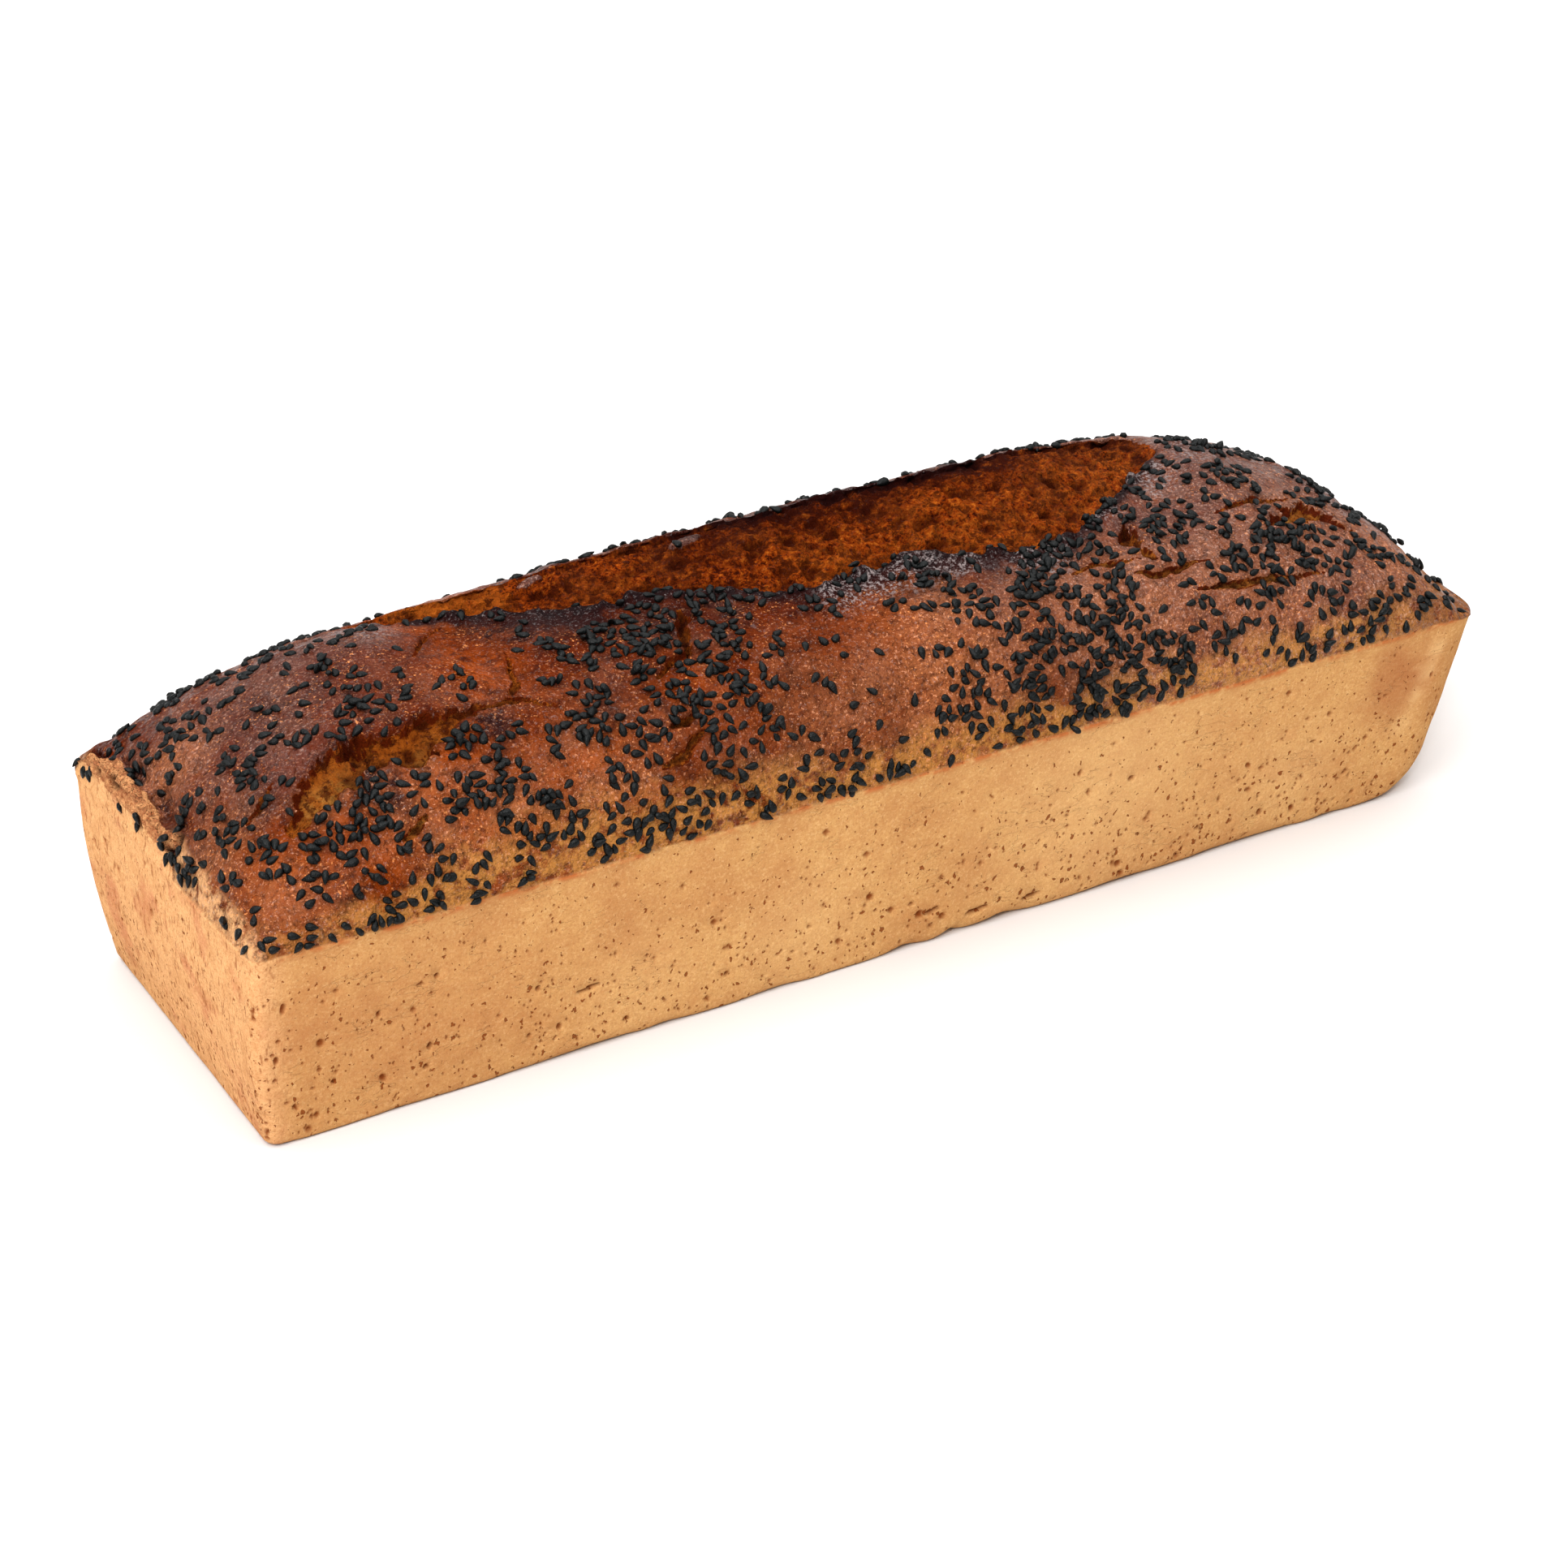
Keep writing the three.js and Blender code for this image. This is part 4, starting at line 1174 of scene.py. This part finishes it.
# ---------------------------------------------------------------- materials

class Shader:
    """A new material and short ways to add and join its nodes.

    A value may be given as the name of one of the mesh's masks, and a colour as the name of one
    of the colour settings.
    """

    def __init__(self, name, colours=None, masks=()):
        self.colours = colours
        self.material = bpy.data.materials.new(name)
        self.material.use_nodes = True
        self.tree = self.material.node_tree
        self.place = self.node("TexCoord").outputs["Object"]
        self.masks = {mask: self.stored(mask) for mask in masks}

    def node(self, kind, **inputs):
        """A new node whose named inputs are set or joined."""
        node = self.tree.nodes.new("ShaderNode" + kind)
        for name, source in inputs.items():
            self.join(source, node.inputs[name])
        return node

    def join(self, source, target):
        if isinstance(source, str) and target.type == "RGBA":
            source = (*getattr(self.colours, source), 1)
        elif isinstance(source, str):
            source = self.masks[source]
        if isinstance(source, bpy.types.NodeSocket):
            self.tree.links.new(source, target)
        else:
            target.default_value = source

    def dress(self, **inputs):
        """Sets or joins the surface's inputs, named with underscores, and returns the material."""
        surface = self.tree.nodes["Principled BSDF"]
        for name, source in inputs.items():
            self.join(source, surface.inputs[name.replace("_", " ")])
        return self.material

    def stored(self, name):
        node = self.node("Attribute")
        node.attribute_name = name
        return node.outputs["Fac"]

    def scaled(self, size_mm, stretch=(1, 1, 1), shift=0.0):
        """Places on the object counted in size_mm, stretched along each axis and shifted."""
        scale = [1 / (s * size_mm * MM) for s in stretch]
        location = (shift, shift * 0.7, shift * 1.3)
        return self.node("Mapping", Vector=self.place, Scale=scale, Location=location).outputs[0]

    def grain(self, size_mm, detail=2.0, rough=0.5, shift=0.0, stretch=(1, 1, 1)):
        """Noise from 0 to 1 with features about size_mm wide."""
        place = self.scaled(size_mm, stretch, shift)
        node = self.node("TexNoise", Vector=place, Scale=1.0, Detail=detail, Roughness=rough)
        return node.outputs["Fac"]

    def cells(self, size_mm):
        """Distance from the middle of each of many cells about size_mm wide."""
        node = self.node("TexVoronoi", Vector=self.scaled(size_mm), Scale=1.0)
        return node.outputs["Distance"]

    def holes(self, size_mm, tall, share):
        """Scattered round holes of many sizes, larger low down: 1 inside a hole."""
        place = self.scaled(size_mm, (1, 1, tall))
        sway = self.node("TexNoise", Vector=place, Scale=1.6).outputs["Color"]
        bent = self.node("VectorMath")
        bent.operation = "MULTIPLY_ADD"
        for source, socket in zip((sway, (1.1, 1.1, 1.1), place), bent.inputs):
            self.join(source, socket)
        cells = self.node("TexVoronoi", Vector=bent.outputs[0], Scale=1.0)
        draws = self.node("SeparateColor", Color=cells.outputs["Color"]).outputs[0]
        height = self.node("SeparateXYZ", Vector=self.place).outputs["Z"]
        largest = self.map(height, 0.0, 46 * MM, 0.33, 0.18)
        radius = self.times(self.map(draws, 1 - share, 1.0), largest)
        inside = self.math("SUBTRACT", radius, cells.outputs["Distance"])
        return self.map(inside, -0.01, 0.04)

    def map(self, value, low, high, least=0.0, most=1.0):
        """Least where the value is low, most where it is high, and smooth between."""
        node = self.node("MapRange")
        node.interpolation_type = "SMOOTHSTEP"
        for source, socket in zip((value, low, high, least, most), node.inputs):
            self.join(source, socket)
        return node.outputs[0]

    def spots(self, grain, levels):
        """Grain, given as size, detail, roughness and so on, mapped to spots by its levels."""
        return self.map(self.grain(*grain), *levels)

    def math(self, kind, a, b, clamp=False):
        node = self.node("Math")
        node.operation = kind
        node.use_clamp = clamp
        self.join(a, node.inputs[0])
        self.join(b, node.inputs[1])
        return node.outputs[0]

    def plus(self, a, b, clamp=False):
        return self.math("ADD", a, b, clamp)

    def times(self, first, *others):
        for other in others:
            first = self.math("MULTIPLY", first, other)
        return first

    def without(self, value):
        return self.math("SUBTRACT", 1.0, value)

    def relief(self, grain, share):
        """Grain about its own middle, so that it leaves no step where its share ends."""
        return self.times(self.math("SUBTRACT", grain, 0.5), share)

    def lay(self, below, colour, *shares):
        """Lays one colour over another, as far as the product of the shares."""
        node = self.node("Mix")
        node.data_type = "RGBA"
        self.join(self.times(*shares), node.inputs[0])
        self.join(below, node.inputs[6])
        self.join(colour, node.inputs[7])
        return node.outputs[2]

    def bump(self, height, distance_mm, strength, below=None):
        node = self.node("Bump", Strength=strength, Distance=distance_mm * MM, Height=height)
        if below is not None:
            self.join(below, node.inputs["Normal"])
        return node.outputs[0]


MASKS = (
    "crumb", "char", "band", "dusky_sheen", "wall", "ear", "pore", "maroon", "orange", "rim",
    "inner", "hollow_shade", "end", "lip_glint", "smudge", "pale", "rust", "cleft",
)


def crust_colour(s, vein):
    """Red-brown crust: broad patches first, then fine specks, painted highlights and hairline cracks.
    """
    crust = s.lay("crust", "crust_dark", s.spots((7, 4, 0.6), (0.42, 0.66, 0, 0.75)))
    crust = s.lay(crust, "crust_glow", "orange", s.spots((3.6, 4, 0.6), (0.3, 0.6)))
    # Partly painted sheen: the mauve tint of the dusky patches.
    crust = s.lay(crust, "mauve_and_sheen", "dusky_sheen", s.spots((3, 4, 0.65), (0.3, 0.6, 0.2, 1)))
    crust = s.lay(crust, "crust_light", "pale", s.spots((1.3, 4, 0.7, 20), (0.3, 0.62, 0.3, 0.85)))
    crust = s.lay(crust, "crust_dark", "maroon", s.spots((4, 4, 0.65, 1), (0.3, 0.6)))
    low_dough = s.lay("band", "end_wall", s.map("end", 0.8, 0.97))
    crust = s.lay(crust, low_dough, "band", s.spots((3, 4, 0.65), (0.34, 0.56)))
    crust = s.lay(crust, "crust_dark", s.spots((1.6, 4, 0.65, 2), (0.5, 0.68, 0, 0.6)))
    crust = s.lay(crust, "speck", s.spots((0.7, 2, 0.5), (0.62, 0.7)),
                  s.spots((14, 2, 0.6, 22), (0.4, 0.65, 0.1, 0.9)))
    # Painted highlights: fine light grain, most on the paler crust.
    crust = s.lay(crust, "fine_highlight", s.spots((0.75, 3, 0.65, 30), (0.59, 0.65, 0, 0.8)),
                  s.plus(s.times("pale", 0.45), 0.25))
    # Painted highlights: greyish glints on the dusky crust.
    crust = s.lay(crust, "glint", s.spots((0.8, 3, 0.7, 12, (1, 1, 1.6)), (0.56, 0.66)),
                  s.times("dusky_sheen", 0.5))
    return s.lay(crust, "crust_glow", vein, 0.4)


def crumb_colour(s, torn):
    """Torn crumb, with paler dough in the small tears and scorched rims, painted shade where its bump
    grain is low and in its hollows, and painted light on the grain's high spots.
    """
    clots = s.grain(3, 4, 0.7, 15)
    tan = s.times("pale", s.spots((2.6, 4, 0.7, 24), (0.36, 0.56, 0.2, 0.9)))
    # Painted shade and light: the crumb darkens where its bump grain is low and pales where it is
    # high.
    crumb = s.lay("crumb_dark", "crumb", s.map(torn, 0.42, 0.52))
    crumb = s.lay(crumb, "crumb_pale", s.map(torn, 0.54, 0.64))
    crumb = s.lay(crumb, "dough", "inner", s.map(torn, 0.36, 0.56, 0.2, 0.8))
    crumb = s.lay(crumb, "dough_pale", tan, "inner")
    crumb = s.lay(crumb, "crumb_pale", tan, s.without("inner"))
    crumb = s.lay(crumb, "crumb_pale", "orange", s.map(clots, 0.42, 0.6, 0, 0.55))
    crumb = s.lay(crumb, "crumb_dark", "maroon", s.spots((3.4, 4, 0.75, 9), (0.34, 0.56, 0.3, 1)))
    crumb = s.lay(crumb, "crumb_dark", s.map(clots, 0.52, 0.6, 0, 0.8))
    crumb = s.lay(crumb, "rust", "rust")
    # Painted shade in the crumb's hollows.
    return s.lay(crumb, "crumb_dark", "hollow_shade", 0.85)


def wall_colour(s, holes):
    """Tan wall with flour grains, marks, a painted highlight up the right corner, the redder line
    under the rim, and pores.
    """
    wall = s.lay("wall", "wall_dark", s.spots((22, 4, 0.6), (0.42, 0.7, 0, 0.55)))
    wall = s.lay(wall, "end_wall", "end")
    wall = s.lay(wall, "blush", "end", s.spots((13, 3, 0.6, 4), (0.5, 0.66, 0, 0.6)))
    wall = s.lay(wall, "wall_dark", s.spots((0.7, 3, 0.75), (0.48, 0.66, 0, 0.5)))
    wall = s.lay(wall, "wall_dark", s.spots((0.42, 2, 0.6, 26), (0.52, 0.64, 0, 0.4)))
    wall = s.lay(wall, "wall_pale", s.spots((0.8, 3, 0.75, 8), (0.5, 0.66, 0, 0.35)))
    wall = s.lay(wall, "wall_dark", s.spots((5, 3, 0.6, 13), (0.46, 0.64, 0, 0.25)))
    wall = s.lay(wall, "smudge", "smudge", 0.6)
    # Paler spots, partly a painted highlight up the right corner's rounding.
    wall = s.lay(wall, "wall_pale", "pale", 0.7)
    streaks = s.spots((1, 2, 0.6, 14, (1, 1, 3.2)), (0.56, 0.68, 0, 0.55))
    wall = s.lay(wall, "pore", streaks, "end")
    wall = s.lay(wall, "rim", "rim", s.spots((4, 3, 0.6), (0.35, 0.6)))
    wall = s.lay(wall, "pore", holes, 0.85)
    return s.lay(wall, "pore", "pore", 0.9)


def ear_colour(s, rag):
    """Ragged dough, with painted shade where its bump grain is low and in its hollows."""
    ear = s.lay("ear", "ear_dark", s.map(rag, 0.42, 0.54, 0.6, 0))
    ear = s.lay(ear, "crust_glow", s.spots((1.6, 3, 0.7, 16), (0.54, 0.64, 0, 0.6)))
    ear = s.lay(ear, "ear_dark", s.spots((3, 3, 0.7, 18), (0.54, 0.62, 0, 0.4)))
    return s.lay(ear, "ear_dark", "hollow_shade", 0.6)


def burn(s, colour):
    """Scorches and chars the lips of the burst, and paints grey glints on them as highlights."""
    scorch = s.plus(s.map("char", 0.05, 0.5), -0.35)
    scorch = s.plus(scorch, s.grain(2.4, 4, 0.7, 3), clamp=True)
    colour = s.lay(colour, "crust_dark", s.map("char", 0.02, 0.12), scorch)
    edge = s.times("char", s.spots((1.8, 4, 0.7), (0.3, 0.55, 0.55, 1)))
    colour = s.lay(colour, "burnt", s.map(edge, 0.32, 0.8))
    # Painted highlights: streaky grey glints on the lips and finer ones on the char.
    glint_streaks = s.times(s.map("lip_glint", 0.15, 0.8), s.spots((0.9, 4, 0.7, 7, (1, 1, 2)), (0.5, 0.6, 0, 0.8)))
    char_glints = s.times(s.map("char", 0.1, 0.6),
                     s.spots((0.7, 3, 0.7, 17, (1, 1, 2)), (0.58, 0.68, 0, 0.5)))
    return s.lay(colour, "lip_glint", s.math("MAXIMUM", glint_streaks, char_glints), s.without("crumb"))


def bread_normal(s, torn, rag, vein, holes):
    """Fine wrinkles of the crust, torn crumb, ragged ear, hairline cracks and pores."""
    off_wall = s.without("wall")
    fine = s.times(off_wall, s.plus(0.5, s.times("dusky_sheen", 0.6)))
    normal = s.bump(s.relief(s.grain(0.9, 3, 0.6), s.plus(0.3, fine)), 0.6, 0.8)
    normal = s.bump(s.relief(s.grain(2.6, 3, 0.6), s.plus(0.15, off_wall)), 1.7, 0.9, normal)
    normal = s.bump(s.relief(torn, "crumb"), 1.8, 1.0, normal)
    normal = s.bump(s.relief(rag, "ear"), 1.5, 1.0, normal)
    normal = s.bump(s.times(vein, -1.0), 0.3, 0.7, normal)
    return s.bump(s.times(holes, -1.0, "wall"), 0.4, 1.0, normal)


def bread_material(colours):
    """Tan walls, red-brown crust, torn crumb and burnt lips, told apart by stored masks."""
    s = Shader("baked_rye_bread", colours, MASKS)
    fray = s.relief(s.grain(1.3, 3, 0.7, 19), 1.3)
    for name, low, high in (("crumb", 0.42, 0.56), ("ear", 0.42, 0.56), ("rust", 0.35, 0.7)):
        s.masks[name] = s.map(s.plus(name, fray), low, high)
    torn = s.grain(1.4, 5, 0.76)
    rag = s.grain(1.3, 4, 0.7)
    vein = s.math("ABSOLUTE", s.math("SUBTRACT", s.grain(5, 3, 0.6, 0, (2.6, 1, 1)), 0.5), 0.0)
    vein = s.times(s.map(vein, 0.003, 0.012, 1, 0), s.spots((11, 1, 0.5, 5), (0.54, 0.62)))
    holes = s.math("MAXIMUM", s.holes(1.8, 1.3, 0.6), s.holes(1, 1.2, 0.35))

    colour = s.lay(crust_colour(s, vein), wall_colour(s, holes), "wall")
    colour = s.lay(colour, ear_colour(s, rag), "ear")
    colour = s.lay(colour, crumb_colour(s, torn), "crumb")
    # Painted shade in the ear's clefts and narrow cracks.
    colour = s.lay(colour, "crust_dark", "cleft")

    # The crust alone is glossy, with wet specks and a wider sheen where it is dusky.
    rough = s.math("MAXIMUM", "wall", s.math("MAXIMUM", "crumb", "ear"))
    wet = s.times(s.spots((0.8, 3, 0.65, 21), (0.57, 0.66)), 0.5)
    shine = s.plus(wet, s.plus(0.012, s.times("dusky_sheen", 0.16)))
    return s.dress(
        Base_Color=burn(s, colour),
        Roughness=s.plus(s.spots((3, 3, 0.6), (0.3, 0.7, 0.24, 0.42)), s.times(rough, 0.5), True),
        Specular_IOR_Level=s.times(shine, s.without(s.times(rough, 0.8))),
        Normal=bread_normal(s, torn, rag, vein, holes))


def seed_material(colours):
    """Dull black seed coat with a fine net of wrinkles."""
    s = Shader("black_seed_coat", colours)
    greyer = (*(1.9 * c for c in colours.seed), 1)
    return s.dress(
        Base_Color=s.lay("seed", greyer, s.spots((1.8, 2, 0.6), (0.35, 0.7))),
        Roughness=0.42, Specular_IOR_Level=0.17, Normal=s.bump(s.cells(0.32), 0.1, 0.8))


# ---------------------------------------------------------------- stage

CAMERA_PLACE = (-0.47339, -0.81376, 0.55762)
CAMERA_AZIMUTH = math.radians(-29.938)
CAMERA_ELEVATION = math.radians(29.631)
SENSOR_WIDTH = 36
LIGHTS_AIM = (0, 0, 0.04)


def aim(thing, target):
    thing.rotation_euler = (Vector(target) - thing.location).to_track_quat("-Z", "Y").to_euler()


def soft_light(name, place, side, power):
    bpy.ops.object.light_add(type="AREA", location=place)
    light = bpy.context.object
    light.name = name
    light.data.shape = "SQUARE"
    light.data.size = side
    light.data.energy = power
    aim(light, LIGHTS_AIM)


class BREAD_OT_set_stage(bpy.types.Operator):
    """Sets out a pale floor, soft studio light and the camera"""
    bl_idname = "bread.set_stage"
    bl_label = "Set the stage"

    def execute(self, context):
        studio = settings()[3]
        clear_selection()
        bpy.ops.mesh.primitive_plane_add(size=12)
        floor = context.object
        floor.name = "studio_floor"
        paper = Shader("white_paper").dress(Base_Color=(0.72, 0.708, 0.7, 1), Roughness=0.9)
        floor.data.materials.append(paper)

        world = bpy.data.worlds.new("white_room")
        world.use_nodes = True
        world.node_tree.nodes["Background"].inputs[0].default_value = (1, 1, 1, 1)
        world.node_tree.nodes["Background"].inputs[1].default_value = studio.fill
        context.scene.world = world
        soft_light("key_softbox", (-1.2, -0.7, 1.1), 0.9, studio.key_power)
        soft_light("spark_lamp", (-0.7, -1.2, 1.4), 0.22, studio.key_power * 0.6)
        soft_light("top_softbox", (0.1, 0.2, 1.9), 4.5, studio.top_power)

        lens = bpy.data.cameras.new("camera")
        lens.lens = studio.lens / MM
        lens.sensor_width = SENSOR_WIDTH
        camera = bpy.data.objects.new("camera", lens)
        context.collection.objects.link(camera)
        camera.location = CAMERA_PLACE
        level = math.cos(CAMERA_ELEVATION)
        back = Vector((math.sin(CAMERA_AZIMUTH) * level, -math.cos(CAMERA_AZIMUTH) * level,
                       math.sin(CAMERA_ELEVATION)))
        camera.rotation_euler = (-back).to_track_quat("-Z", "Y").to_euler()
        context.scene.camera = camera
        context.scene.view_settings.view_transform = "Standard"
        return {"FINISHED"}


# ---------------------------------------------------------------- add-on

class BREAD_PT_panel(bpy.types.Panel):
    bl_label = "Rye bread loaf"
    bl_idname = "BREAD_PT_panel"
    bl_space_type = "VIEW_3D"
    bl_region_type = "UI"
    bl_category = "Rye loaf"

    def draw(self, context):
        for group in settings():
            box = self.layout.box()
            for name in group.__annotations__:
                box.prop(group, name)
        for step in STEPS:
            self.layout.operator(step.bl_idname)


STEPS = (BREAD_OT_bake_loaf, BREAD_OT_strew_seeds, BREAD_OT_set_stage)
GROUPS = {
    "loaf_sizes": LoafSizes,
    "loaf_seeds": SeedSettings,
    "loaf_colours": BakeColours,
    "loaf_studio": StudioSettings,
}


def register():
    for name, group in GROUPS.items():
        bpy.utils.register_class(group)
        setattr(bpy.types.Scene, name, bpy.props.PointerProperty(type=group))
    for step in STEPS:
        bpy.utils.register_class(step)
    bpy.utils.register_class(BREAD_PT_panel)


def unregister():
    bpy.utils.unregister_class(BREAD_PT_panel)
    for step in reversed(STEPS):
        bpy.utils.unregister_class(step)
    for name, group in GROUPS.items():
        delattr(bpy.types.Scene, name)
        bpy.utils.unregister_class(group)


def main():
    register()
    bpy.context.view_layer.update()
    bpy.ops.bread.bake_loaf()
    bpy.ops.bread.strew_seeds()
    bpy.ops.bread.set_stage()


if __name__ == "__main__":
    main()
